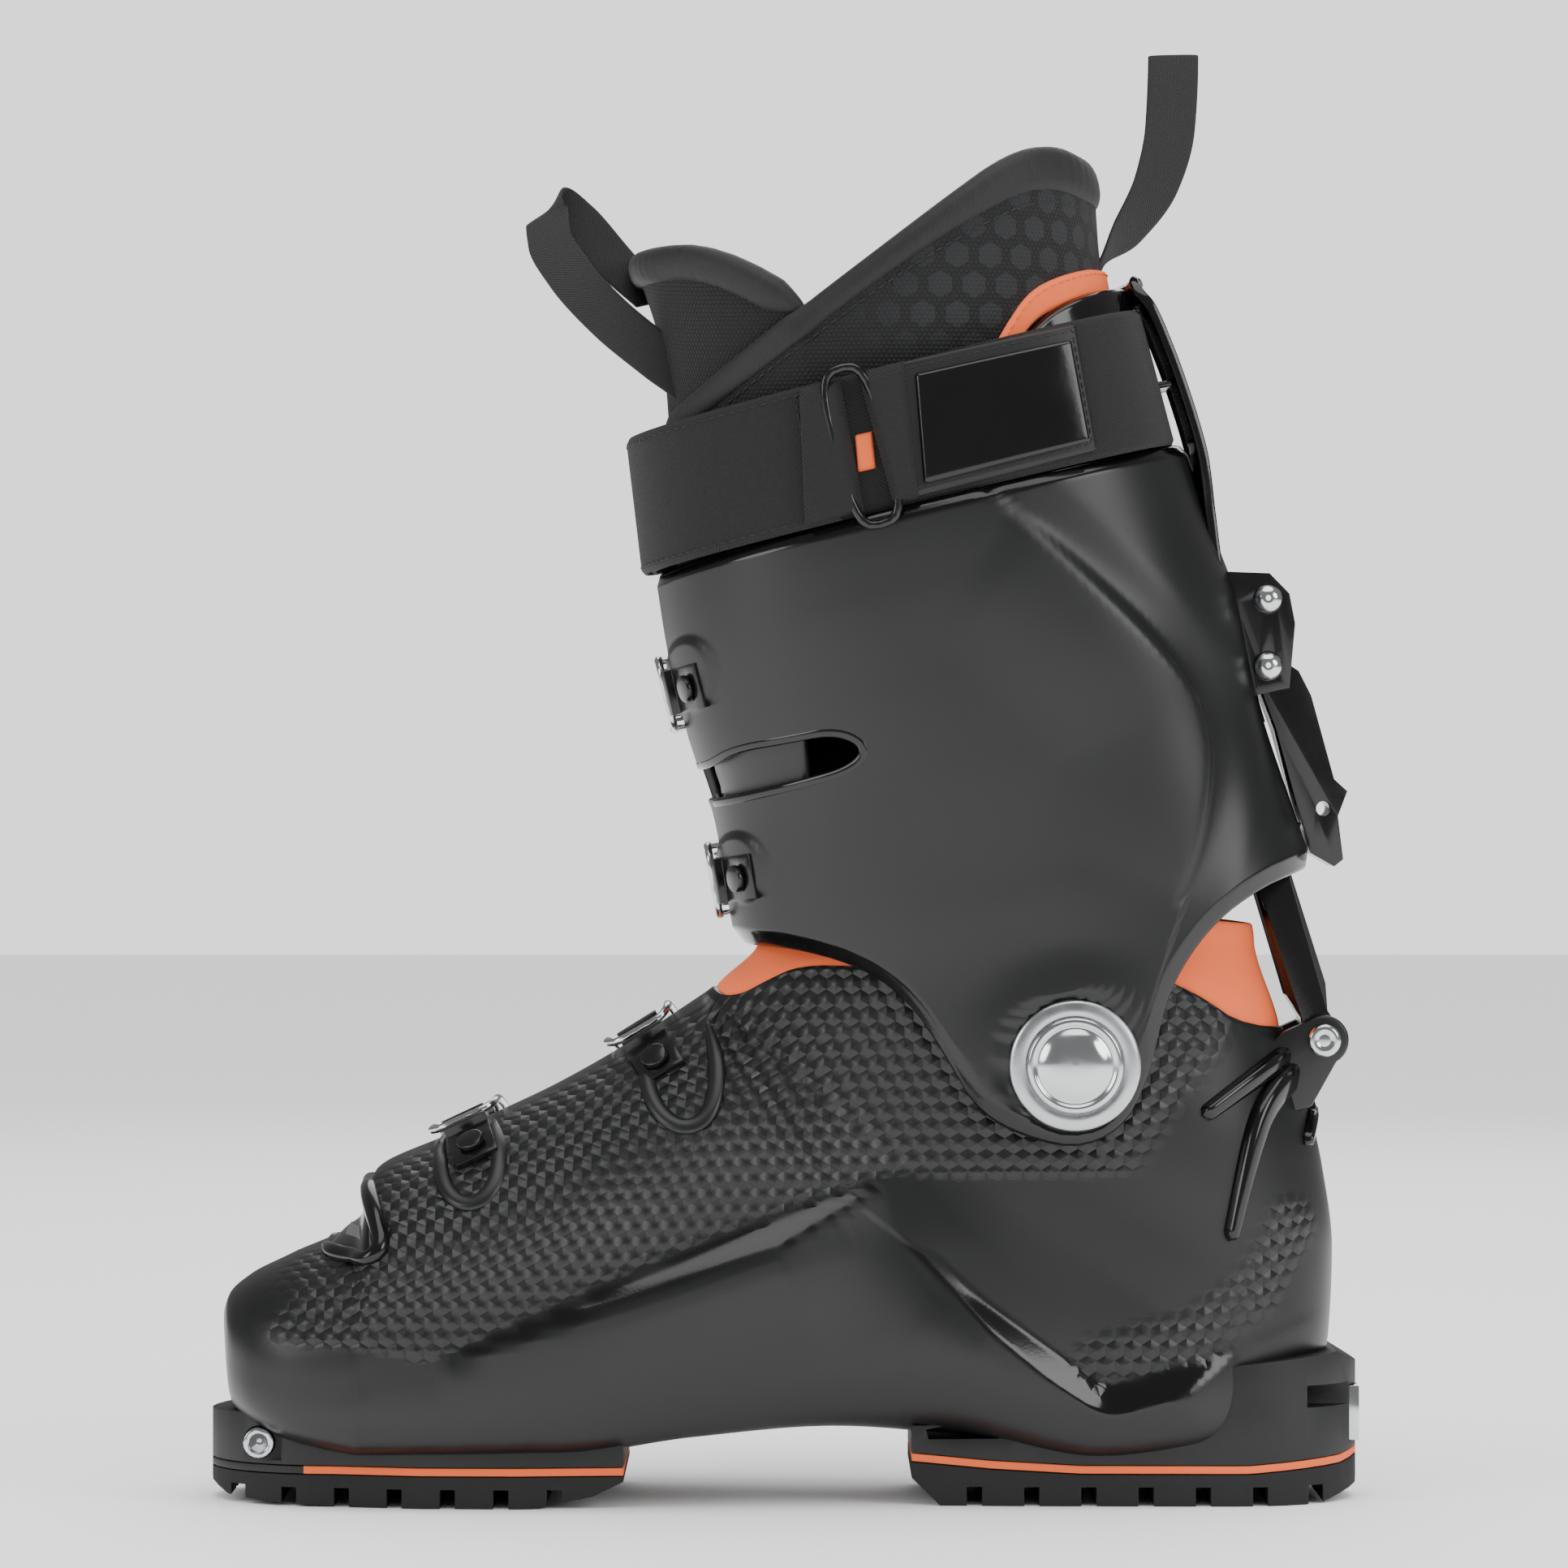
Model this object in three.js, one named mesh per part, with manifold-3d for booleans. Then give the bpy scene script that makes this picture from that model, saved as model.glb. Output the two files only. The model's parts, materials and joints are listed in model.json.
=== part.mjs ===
// A right ski-touring boot: a hinged plastic boot with four buckles, a power strap, a lean lock and a
// liner. Millimetres, +Z up, toe towards -X, medial side towards -Y, standing on its treads at Z = 0.
import * as THREE from "three";
import { mergeVertices } from "three/addons/utils/BufferGeometryUtils.js";
import Module from "manifold-3d";

const wasm = await Module();
wasm.setup();

// ---- driving dimensions ----------------------------------------------------------------------------
const sole_length = 305; // toe lug to heel lug
const boot_height = 360; // ground to the top of the liner
const shell_width = 105; // across the ball of the foot
const drawn = { sole_length: 305, boot_height: 360, shell_width: 105 }; // sizes the outlines are drawn at

const shell_wall = 3.6;
const cuff_wall = 3.4;
const liner_wall = 6;
const tongue_wall = 5;
const gaiter_wall = 1.6;
const seat_gap = 0.3; // between pieces that touch
const sliding_gap = 0.6; // between cuff and liner

const sole_half_width = 34.5; // standard toe and heel lug half width
const pivot = { x: 75.8, z: 116.2, shaft: 6, clearance: 0.3, washer: 17.2, head: 13.5 };
const rear_pin = { x: 142.9, z: 121.7, radius: 3, boss: 6.6, ear_inner: 11.5, ear_outer: 17.5 };
const strut = { length: 66, lean: 17, half_width: 11, half_depth: 3.6 };

const rack = { half_width: 6, thickness: 2, tooth: 2.2, pitch: 8, screw: 3.6 };
const lever = { half_width: 6, low: 4.6, high: 7.4, barrel: 2.9, hinge_height: 6 };
const base = { half_width: 7.3, thickness: 2, ear: 0.9 };
const hinge_pin = 1.2;
const pin_hole = hinge_pin + 0.4;
const bail = { half_width: 9.4, wire: 1.2, height: 3.6 };

const strap = { width: 36, thickness: 2 };
const loop = { width: 14, thickness: 1.4 };
const lock = { x: 128.2, z: 238.5, arm_z: 220.7, flange: 11.6, ear: 13.6, rivet: 3.9, pin: 2 };
const insert = { x: -138, z: 16.5, radius: 4, half_length: 31.5, socket: 2.2 };

// ---- places ----------------------------------------------------------------------------------------
const length_ratio = sole_length / drawn.sole_length;
const height_ratio = boot_height / drawn.boot_height;
const width_ratio = shell_width / drawn.shell_width;
const at = (x, z) => [x * length_ratio, z * height_ratio];
const line = (points) => points.map(([x, z]) => at(x, z));
const [pivot_x, pivot_z] = at(pivot.x, pivot.z);
const [pin_x, pin_z] = at(rear_pin.x, rear_pin.z);
const [lock_x, lock_z] = at(lock.x, lock.z);
const arm_x = lock_x;
const arm_z = lock_z - (lock.z - lock.arm_z);
const SIDES = 20;

// ---- solids ----------------------------------------------------------------------------------------
function solid(geometry) {
  const bare = geometry.clone();
  for (const name of Object.keys(bare.attributes)) if (name !== "position") bare.deleteAttribute(name);
  const merged = mergeVertices(bare, 1e-4);
  const made = new wasm.Manifold(
    new wasm.Mesh({
      numProp: 3,
      vertProperties: merged.attributes.position.array,
      triVerts: new Uint32Array(merged.index.array),
    }),
  );
  return made;
}

function geometryOf(made) {
  const mesh = made.getMesh();
  const g = new THREE.BufferGeometry();
  g.setAttribute("position", new THREE.BufferAttribute(new Float32Array(mesh.vertProperties), 3));
  g.setIndex(new THREE.BufferAttribute(new Uint32Array(mesh.triVerts), 1));
  return g;
}

// A closed skin over rings of points, each ring with the same count, flat-capped at both ends.
function skin(rings) {
  const n = rings[0].length;
  const points = rings.flat();
  const faces = [];
  for (let k = 0; k + 1 < rings.length; k++) {
    for (let i = 0; i < n; i++) {
      const [a, b] = [k * n + i, k * n + ((i + 1) % n)];
      faces.push(a, b, b + n, a, b + n, a + n);
    }
  }
  for (const [k, turned] of [[0, true], [rings.length - 1, false]]) {
    const centre = new THREE.Vector3();
    rings[k].forEach((p) => centre.addScaledVector(p, 1 / n));
    const c = points.push(centre) - 1;
    for (let i = 0; i < n; i++) {
      const [a, b] = [k * n + i, k * n + ((i + 1) % n)];
      faces.push(...(turned ? [a, c, b] : [a, b, c]));
    }
  }
  const g = new THREE.BufferGeometry().setFromPoints(points);
  g.setIndex(faces);
  return solid(g);
}

// A plate whose outline is drawn in the side view, from y0 to y1.
function plate(outline, y0, y1) {
  const shape = new THREE.Shape(outline.map(([x, z]) => new THREE.Vector2(x, z)));
  const g = new THREE.ExtrudeGeometry(shape, { depth: y1 - y0, bevelEnabled: false });
  g.rotateX(Math.PI / 2);
  g.translate(0, y1, 0);
  return solid(g);
}

// A slab whose outline is drawn in plan, from z0 to z1.
function slab(outline, z0, z1) {
  const shape = new THREE.Shape(outline.map(([x, y]) => new THREE.Vector2(x, y)));
  const g = new THREE.ExtrudeGeometry(shape, { depth: z1 - z0, bevelEnabled: false });
  g.translate(0, 0, z0);
  return solid(g);
}

function box(x0, x1, y0, y1, z0, z1) {
  const g = new THREE.BoxGeometry(x1 - x0, y1 - y0, z1 - z0);
  g.translate((x0 + x1) / 2, (y0 + y1) / 2, (z0 + z1) / 2);
  return solid(g);
}

// A cylinder along Y, or a cone when the second radius is given.
function rod(x, z, radius, y0, y1, end_radius = radius, sides = 20) {
  const g = new THREE.CylinderGeometry(end_radius, radius, y1 - y0, sides);
  g.translate(x, (y0 + y1) / 2, z);
  return solid(g);
}

// A flat band carried through frames of {p, side, up}: centre, width direction and thickness direction.
function ribbon(frames, width, thickness) {
  const corners = [[-1, -1], [1, -1], [1, 1], [-1, 1]];
  const rings = frames.map(({ p, side, up }) =>
    corners.map(([a, b]) =>
      p.clone().addScaledVector(side, (a * width) / 2).addScaledVector(up, (b * thickness) / 2),
    ),
  );
  const made = skin(rings);
  return made.volume() > 0 ? made : skin(rings.reverse());
}

// A round wire along points.
function wire(points, radius, steps) {
  const section = new THREE.Shape(arc(0, 0, radius, 0, 300, 5).map(([a, b]) => new THREE.Vector2(a, b)));
  const path = new THREE.CatmullRomCurve3(points, false, "centripetal");
  return solid(
    new THREE.ExtrudeGeometry(section, { steps, extrudePath: path, bevelEnabled: false }),
  );
}

const arc = (x, z, radius, from, to, count) =>
  Array.from({ length: count + 1 }, (_, i) => {
    const a = THREE.MathUtils.degToRad(from + ((to - from) * i) / count);
    return [x + radius * Math.cos(a), z + radius * Math.sin(a)];
  });
const all = (...solids) => solids.reduce((a, b) => a.add(b));

// ---- lofts -----------------------------------------------------------------------------------------
// A station is a slanting section: its top (or front) and bottom (or back) points, its half width on the
// medial and lateral sides, where it is widest from 0 at the top to 1 at the bottom, and how square each
// end is (2 is an ellipse). An offset grows the section, and moves the toe forward by the same amount.
function loft(stations, offset, nose = 0) {
  const rings = stations.map((s, k) => {
    const top = new THREE.Vector3(s.top[0] * length_ratio, 0, s.top[1] * height_ratio);
    const end = new THREE.Vector3(s.end[0] * length_ratio, 0, s.end[1] * height_ratio);
    const down = end.clone().sub(top).normalize();
    top.addScaledVector(down, -offset);
    end.addScaledVector(down, offset);
    const forward = nose > 0 ? Math.max(0, 1 - k / nose) * offset : 0;
    return Array.from({ length: SIDES }, (_, i) => {
      const angle = (2 * Math.PI * (i + 0.5)) / SIDES;
      const [c, n] = [Math.cos(angle), Math.sin(angle)];
      const square = n > 0 ? s.square[0] : s.square[1];
      const half = (c < 0 ? s.half[0] : s.half[1]) * width_ratio + offset;
      const reach = Math.abs(n) ** (2 / square);
      const along = n > 0 ? s.widest * (1 - reach) : s.widest + (1 - s.widest) * reach;
      const p = top.clone().lerp(end, along);
      p.y = Math.sign(c) * half * Math.abs(c) ** (2 / square);
      p.x -= forward;
      return p;
    });
  });
  const made = skin(rings);
  return made.volume() > 0 ? made : skin(rings.map((r) => [...r].reverse()));
}

const shell_stations = [
  { top: [-149, 49], end: [-149, 38], half: [14, 12], widest: 0.5, square: [2.4, 2.4] },
  { top: [-147.3, 54.5], end: [-146.6, 26], half: [25, 22], widest: 0.55, square: [2.6, 3] },
  { top: [-142, 59], end: [-143, 24], half: [34, 31], widest: 0.6, square: [2.5, 3.6] },
  { top: [-131, 64.5], end: [-132, 21.6], half: [43, 41], widest: 0.62, square: [2.4, 4] },
  { top: [-112.5, 74], end: [-113, 19], half: [49, 48], widest: 0.64, square: [2.3, 4] },
  { top: [-109, 86.3], end: [-109.5, 18], half: [49.5, 49], widest: 0.66, square: [2.2, 4] },
  { top: [-88, 96.8], end: [-88, 17.5], half: [51.5, 52], widest: 0.68, square: [2.1, 4] },
  { top: [-60, 110], end: [-58, 17.5], half: [52, 53], widest: 0.68, square: [2.1, 4] },
  { top: [-40, 121.5], end: [-24, 18], half: [50, 52], widest: 0.66, square: [2, 4] },
  { top: [-27, 130], end: [12, 19.5], half: [47.5, 50], widest: 0.62, square: [2, 3.8] },
  { top: [-22.5, 133], end: [46, 17], half: [45, 47], widest: 0.58, square: [2, 3.6] },
  { top: [-21.6, 133.6], end: [84, 17], half: [43, 44.5], widest: 0.55, square: [2, 3.2] },
  { top: [-21, 134], end: [118, 18], half: [42, 43], widest: 0.54, square: [2, 3] },
  { top: [-20.6, 134.3], end: [139, 25], half: [41.5, 42.5], widest: 0.52, square: [2, 2.6] },
  { top: [-20.2, 134.6], end: [145.2, 44], half: [41.5, 42.5], widest: 0.52, square: [2, 2.3] },
  { top: [-19.8, 134.9], end: [146.2, 66], half: [41.5, 42.5], widest: 0.54, square: [2, 2.2] },
  { top: [-19.4, 135.2], end: [143.5, 88], half: [41.5, 42], widest: 0.56, square: [2, 2.2] },
  { top: [-16, 138.5], end: [138, 110], half: [41, 41.5], widest: 0.57, square: [2, 2.2] },
  { top: [-6, 150], end: [131, 131], half: [41, 41.5], widest: 0.56, square: [2, 2.2] },
  { top: [4, 165], end: [126, 152], half: [41, 41.5], widest: 0.55, square: [2, 2.2] },
];
const TOE_STATIONS = 5; // the stations that move forward as the shell grows

const cuff_stations = [
  { top: [8, 62], end: [150, 98], half: [47.5, 48.5], widest: 0.5, square: [2.4, 2.4] },
  { top: [-5, 118], end: [147, 152], half: [47.5, 48.5], widest: 0.5, square: [2.5, 2.4] },
  { top: [-13.2, 148.6], end: [138, 178], half: [49, 50], widest: 0.5, square: [2.5, 2.4] },
  { top: [-18.6, 180], end: [126, 214], half: [52, 53], widest: 0.5, square: [2.4, 2.4] },
  { top: [-26, 203.5], end: [121, 238], half: [54, 55], widest: 0.5, square: [2.4, 2.4] },
  { top: [-31.2, 225.5], end: [113, 260], half: [55.5, 56.5], widest: 0.5, square: [2.4, 2.4] },
  { top: [-34, 243], end: [107, 279], half: [56, 57], widest: 0.5, square: [2.4, 2.4] },
  { top: [-38, 270], end: [98, 306], half: [56, 57], widest: 0.5, square: [2.4, 2.4] },
];

const leg_stations = [
  { top: [0, 120], end: [116, 140], half: [37, 38], widest: 0.5, square: [2.2, 2.2] },
  { top: [-6, 150], end: [113, 172], half: [40, 41], widest: 0.5, square: [2.2, 2.2] },
  { top: [-13, 182], end: [108, 205], half: [46, 47], widest: 0.5, square: [2.2, 2.2] },
  { top: [-22, 212], end: [104, 238], half: [49, 50], widest: 0.5, square: [2.2, 2.2] },
  { top: [-28, 243], end: [97, 273], half: [50.5, 51.5], widest: 0.5, square: [2.2, 2.2] },
  { top: [-30, 275], end: [88, 306], half: [50, 51], widest: 0.5, square: [2.2, 2.2] },
  { top: [-33, 310], end: [83, 335], half: [50, 51], widest: 0.5, square: [2.2, 2.2] },
  { top: [-42, 345], end: [82, 372], half: [50, 51], widest: 0.5, square: [2.2, 2.2] },
];

// The same stations with one more past each end, for a core that cuts right through both ends.
function opened(stations) {
  const past = (a, b) => {
    const on = (p, q) => p.map((v, i) => q[i] + (q[i] - v) * 0.3);
    return { ...b, top: on(a.top, b.top), end: on(a.end, b.end), half: on(a.half, b.half) };
  };
  return [past(stations[1], stations[0]), ...stations, past(stations.at(-2), stations.at(-1))];
}

const hollow = (stations, outside, inside) => loft(stations, outside).subtract(loft(opened(stations), inside));

const shell_at = (offset) => loft(shell_stations, offset, TOE_STATIONS);
const cavity_at = (inset) => loft(shell_stations.slice(1), -inset, TOE_STATIONS);
const cuff_at = (offset) => loft(cuff_stations, offset);
const leg_at = (offset) => loft(leg_stations, offset);

// ---- frames on the shells --------------------------------------------------------------------------
const Y = new THREE.Vector3(0, 1, 0);
const ray = new THREE.Raycaster();
const NORMAL_STEP = 4; // degrees either side that a smooth normal is taken over

// A frame on the top line of a shell: t runs up the boot, n points out, and the centre lies deep inside.
// Its on() finds the shell at a bearing in mm round from the top line (lateral is positive) and at u along
// t, and gives the point at a height above it, the direction s round the shell and the normal.
function frameOn(shape, x, z, tilt, depth) {
  const [fx, fz] = at(x, z);
  const a = THREE.MathUtils.degToRad(tilt);
  const t = new THREE.Vector3(Math.cos(a), 0, Math.sin(a));
  const n = t.clone().cross(Y);
  const centre = new THREE.Vector3(fx, 0, fz).addScaledVector(n, -depth);
  const target = new THREE.Mesh(geometryOf(shape), new THREE.MeshBasicMaterial({ side: THREE.DoubleSide }));
  const hit = (degrees, u) => {
    const b = THREE.MathUtils.degToRad(degrees);
    const out = n.clone().multiplyScalar(Math.cos(b)).addScaledVector(Y, Math.sin(b));
    const from = centre.clone().addScaledVector(t, u).addScaledVector(out, 150);
    ray.set(from, out.negate());
    return ray.intersectObject(target)[0].point;
  };
  const on = (bearing, u, height) => {
    const degrees = THREE.MathUtils.radToDeg(bearing / (depth * 1.12));
    const p = hit(degrees, u);
    const s = hit(degrees + NORMAL_STEP, u).sub(hit(degrees - NORMAL_STEP, u));
    s.addScaledVector(t, -s.dot(t)).normalize();
    const up = t.clone().cross(s);
    return { p: p.addScaledVector(up, height), s, up, side: t };
  };
  return { t, n, centre, on };
}

const span = (from, to, count) => Array.from({ length: count + 1 }, (_, i) => from + ((to - from) * i) / count);
const placed = (made, x, y, z, p) => made.transform([...new THREE.Matrix4().makeBasis(x, y, z).setPosition(p).elements]);

// ---- sole ------------------------------------------------------------------------------------------
const HALF = 70; // reaches past the boot on either side
const toe_x = -sole_length / 2;
const heel_x = sole_length / 2;
const mirror = (side) => [...side, ...side.map(([x, y]) => [x, -y]).reverse()];
const toe_plan = mirror([
  ...arc(toe_x + sole_half_width, 0, sole_half_width, 180, 90, 8),
  [-95 * length_ratio, sole_half_width + 6],
  [-70 * length_ratio, sole_half_width + 7],
  [-42 * length_ratio, sole_half_width + 4.5],
]);
const heel_plan = mirror([
  ...arc(heel_x - sole_half_width, 0, sole_half_width, 0, 90, 8),
  [60 * length_ratio, sole_half_width - 1.5],
  [33.5 * length_ratio, sole_half_width - 3.5],
]);
const layer = (plan, side_outline) => slab(plan, -1, 60).intersect(plate(side_outline, -HALF, HALF));
// A side outline between a lower and an upper line, both drawn from toe to heel.
const between = (low, high) => [...low, ...[...high].reverse()];
const raised = (points, by) => points.map(([x, z]) => [x, z + by]);

const midsole = 2;
const tread_groove = 4;
const tread_depth = 5;
const toe_ground = line([[-152.5, 5], [-147, 2], [-131, 0.7], [-112, 0], [-66, 0], [-50, 3.2], [-42, 7]]);
const toe_tread_top = line([[-152.5, 8.3], [-42, 8.3]]);
const heel_ground = line([[33.5, 7.3], [41, 0], [141, 0], [152.5, 4]]);
const heel_tread_top = line([[33.5, 11.4], [54, 9.6], [78, 8.3], [122, 8.3], [147, 10], [152.5, 11.6]]);

const shell_outer = shell_at(0);
const shell_grown = shell_at(seat_gap);

function tread(plan, ground, top, from, to, pitch) {
  let made = layer(plan, between(ground, top));
  for (let x = from; x < to; x += pitch) {
    made = made.subtract(box(x, x + tread_groove, -HALF, HALF, -2, tread_depth));
  }
  return made.subtract(box(toe_x, heel_x, -tread_groove / 2, tread_groove / 2, -2, tread_depth));
}

const toe_block_low = raised(toe_tread_top, midsole + 2 * seat_gap);
const heel_block_low = raised(heel_tread_top, midsole + 2 * seat_gap);
const toe_block_high = line([[-152.5, 23.5], [-146, 24], [-120, 24], [-42, 21]]);
const heel_block_high = line([[33.5, 23], [113, 24], [115.7, 36.6], [146, 39.6], [152.5, 36]]);

// The toe insert is a steel bar with a cone socket at each end, in side windows of the block.
const [insert_x] = at(insert.x, 0);
const insert_z = insert.z;
const insert_end = insert.half_length;
const socket = (side) => {
  const [near, far] = side > 0 ? [insert_end - 3, insert_end + 0.1] : [-insert_end - 0.1, -insert_end + 3];
  const [r0, r1] = side > 0 ? [0.6, insert.socket + 0.5] : [insert.socket + 0.5, 0.6];
  return rod(insert_x, insert_z, r0, near, far, r1);
};
const toe_insert = rod(insert_x, insert_z, insert.radius, -insert_end, insert_end)
  .subtract(socket(1))
  .subtract(socket(-1));
const windows = [-1, 1].map((side) => {
  const [y0, y1] = side > 0 ? [insert_end - 2, HALF] : [-HALF, -insert_end + 2];
  return box(insert_x - 6, insert_x + 6, y0, y1, insert_z - 4.6, insert_z + 5);
});
const toe_sole_block = layer(toe_plan, between(toe_block_low, toe_block_high))
  .subtract(shell_grown)
  .subtract(rod(insert_x, insert_z, insert.radius + seat_gap, -HALF, HALF))
  .subtract(all(...windows));

const heel_plate = { thickness: 3.2, half: 13, low: 15.6, high: 30, screw: 2.6, pin: 2.4, pin_y: 8 };
const plate_x = heel_x - heel_plate.thickness;
const along_x = (x0, x1, y, z, radius) => {
  const g = new THREE.CylinderGeometry(radius, radius, x1 - x0, 14);
  g.rotateZ(Math.PI / 2);
  g.translate((x0 + x1) / 2, y, z);
  return solid(g);
};
const heel_mid_z = (heel_plate.low + heel_plate.high) / 2;
const heel_insert = box(plate_x, heel_x, -heel_plate.half, heel_plate.half, heel_plate.low, heel_plate.high)
  .subtract(along_x(plate_x - 1, heel_x + 1, 0, heel_mid_z, heel_plate.screw + seat_gap))
  .subtract(all(...[-1, 1].map((s) =>
    along_x(plate_x - 1, heel_x + 1, s * heel_plate.pin_y, heel_mid_z, heel_plate.pin))));
const heel_insert_screw = along_x(plate_x, heel_x, 0, heel_mid_z, heel_plate.screw);
const heel_sole_block = layer(heel_plan, between(heel_block_low, heel_block_high))
  .subtract(shell_grown)
  .subtract(box(plate_x - seat_gap, heel_x + 1, -heel_plate.half - seat_gap, heel_plate.half + seat_gap,
    heel_plate.low - seat_gap, heel_plate.high + seat_gap));

// ---- lower shell -----------------------------------------------------------------------------------
const rim = line([
  [-19, 133.6], [-8, 133.4], [20, 136.5], [60, 142], [92, 140.5], [107.5, 135.3], [122.4, 124.7], [150, 124.7],
]);
const above = (points, height = 260) => [...points, [points.at(-1)[0], height], [points[0][0], height]];
const below = (points, depth = -20) => [...points, [points.at(-1)[0], depth], [points[0][0], depth]];
const throat = plate(above(rim), -HALF, HALF);
const ears = [-1, 1].map((side) => {
  const outline = [
    [pin_x - 22, pin_z - 18], [pin_x - 4, pin_z - 19], [pin_x + 2, pin_z - 9],
    ...arc(pin_x, pin_z, rear_pin.boss, -50, 110, 6), [pin_x - 12, pin_z + 2],
  ];
  const [y0, y1] = side > 0 ? [rear_pin.ear_inner, rear_pin.ear_outer] : [-rear_pin.ear_outer, -rear_pin.ear_inner];
  return plate(outline, y0, y1);
});
const clog_shell = shell_outer
  .subtract(throat)
  .add(all(...ears))
  .subtract(cavity_at(shell_wall))
  .subtract(rod(pivot_x, pivot_z, (pivot.shaft + pivot.clearance), -HALF, HALF))
  .subtract(rod(pin_x, pin_z, rear_pin.radius + seat_gap, -HALF, HALF));
const strut_pin = rod(pin_x, pin_z, rear_pin.radius, -rear_pin.ear_outer, rear_pin.ear_outer)
  .add(rod(pin_x, pin_z, rear_pin.radius + 1.3, -rear_pin.ear_outer - 1.6, -rear_pin.ear_outer - seat_gap))
  .add(rod(pin_x, pin_z, rear_pin.radius + 1.3, rear_pin.ear_outer + seat_gap, rear_pin.ear_outer + 1.6))
  .add(rod(pin_x, pin_z, rear_pin.radius, -rear_pin.ear_outer - 1, rear_pin.ear_outer + 1));

// ---- inside the lower shell ------------------------------------------------------------------------
const board_top = 27;
const insole = 5;
const footbed_thickness = 3;
const liner_gap = 1.2;
const upto = (z) => box(-200, 200, -HALF, HALF, -20, z);
const from_z = (z) => box(-200, 200, -HALF, HALF, z, 420);
const boot_board = cavity_at(shell_wall + seat_gap).intersect(upto(board_top));
const liner_floor = board_top + seat_gap;
const foot_top = raised(rim, -5);
const liner_in = cavity_at(shell_wall + liner_gap + liner_wall).intersect(from_z(liner_floor + insole));
const liner_foot = cavity_at(shell_wall + liner_gap)
  .intersect(from_z(liner_floor))
  .subtract(plate(above(foot_top), -HALF, HALF))
  .subtract(liner_in);
const footbed = cavity_at(shell_wall + liner_gap + liner_wall + seat_gap)
  .intersect(from_z(liner_floor + insole + seat_gap))
  .intersect(upto(liner_floor + insole + seat_gap + footbed_thickness));

// The gaiter closes the gap between the rim of the lower shell and the liner's leg.
const leg_foot = line([[-60, 139.3], [150, 178.4]]);
const gaiter_band = above(raised(rim, seat_gap));
const gaiter_inset = 1; // behind the lower shell's outer face
const gaiter = hollow(shell_stations.slice(-9), -gaiter_inset, -gaiter_inset - gaiter_wall)
  .intersect(plate(gaiter_band, -HALF, HALF))
  .subtract(plate(above(raised(leg_foot, -seat_gap)), -HALF, HALF));

// ---- cuff ------------------------------------------------------------------------------------------
const cuff_low = line([
  [-60, 148], [-11, 147], [4, 145.7], [20, 140.9], [32.6, 131.5], [42.1, 116.7], [49.5, 104.1], [62.1, 97.8],
  [76.9, 94.6], [89.6, 101], [96, 114.7], [100.3, 133.6], [109, 148.4], [120, 158.9], [135.9, 167.2], [170, 176],
]);
const cuff_high = line([[-60, 243], [-33, 244.4], [-29, 246.4], [28.3, 260.4], [101.1, 278.2], [150, 290]]);
const flap_slot = line([[-50, 185], [-50, 194], [-20.7, 194], [-14.1, 198.3], [13.6, 203.1], [20.8, 199.2],
  [17.8, 193.9], [4, 189.7], [-17.5, 184.8]]);
const spine_outline = line([[100, 262], [95.5, 283], [87.8, 321.2], [94, 321.2], [96.6, 317.5], [108.1, 282.9],
  [110.9, 268.8], [112.5, 262]]);
const spine_half = 17;
const strap_stations = [
  { top: [-36, 245.5], end: [104, 279.5], half: [54.5, 55.5], widest: 0.5, square: [2.4, 3.2] },
  { top: [-40.3, 281.5], end: [94.6, 315], half: [53.5, 54.5], widest: 0.5, square: [2.4, 3.2] },
];
const strap_band = hollow(strap_stations, 0, -strap.thickness);
const strap_room = hollow(strap_stations, seat_gap, -strap.thickness - seat_gap);

const strut_room = { half: strut.half_width + 1, top: at(0, 206)[1] };
const cuff_solid = hollow(cuff_stations, 0, -cuff_wall);
const seat_y = { medial: 46.4 * width_ratio, lateral: 47.4 * width_ratio };
const cuff_shell = cuff_solid
  .subtract(plate(below(cuff_low), -HALF, HALF))
  .subtract(plate(above(cuff_high, 400), -HALF, HALF))
  .subtract(plate(flap_slot, -HALF, 12))
  .add(plate(spine_outline, -spine_half, spine_half))
  .subtract(strap_room)
  .subtract(box(pivot_x, 220, -strut_room.half, strut_room.half, 0, strut_room.top))
  .subtract(rod(pivot_x, pivot_z, (pivot.shaft + pivot.clearance), -HALF, HALF))
  .subtract(rod(pivot_x, pivot_z, pivot.washer + seat_gap, -HALF, -seat_y.medial, undefined, 32))
  .subtract(rod(pivot_x, pivot_z, pivot.washer + seat_gap, seat_y.lateral, HALF, undefined, 32));

// Each pivot has a washer on the cuff's flat seat and a rivet through cuff and shell.
const washer_thickness = 1.4;
function pivotAt(seat, sign) {
  const from = seat + seat_gap;
  const top = from + washer_thickness;
  const head = top + seat_gap;
  const inner = seat - 9;
  const span_y = (a, b) => (sign > 0 ? [a, b] : [-b, -a]);
  const washer = rod(pivot_x, pivot_z, pivot.washer, ...span_y(from, top), undefined, 32)
    .subtract(rod(pivot_x, pivot_z, pivot.shaft + seat_gap, -HALF, HALF));
  const [r0, r1] = sign > 0 ? [pivot.head, pivot.head - 4] : [pivot.head - 4, pivot.head];
  const rivet = rod(pivot_x, pivot_z, pivot.shaft, ...span_y(inner, head + 1))
    .add(rod(pivot_x, pivot_z, r0, ...span_y(head, head + 3), r1, 28));
  return { washer, rivet };
}
const medial_pivot = pivotAt(seat_y.medial, -1);
const lateral_pivot = pivotAt(seat_y.lateral, 1);

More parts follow.
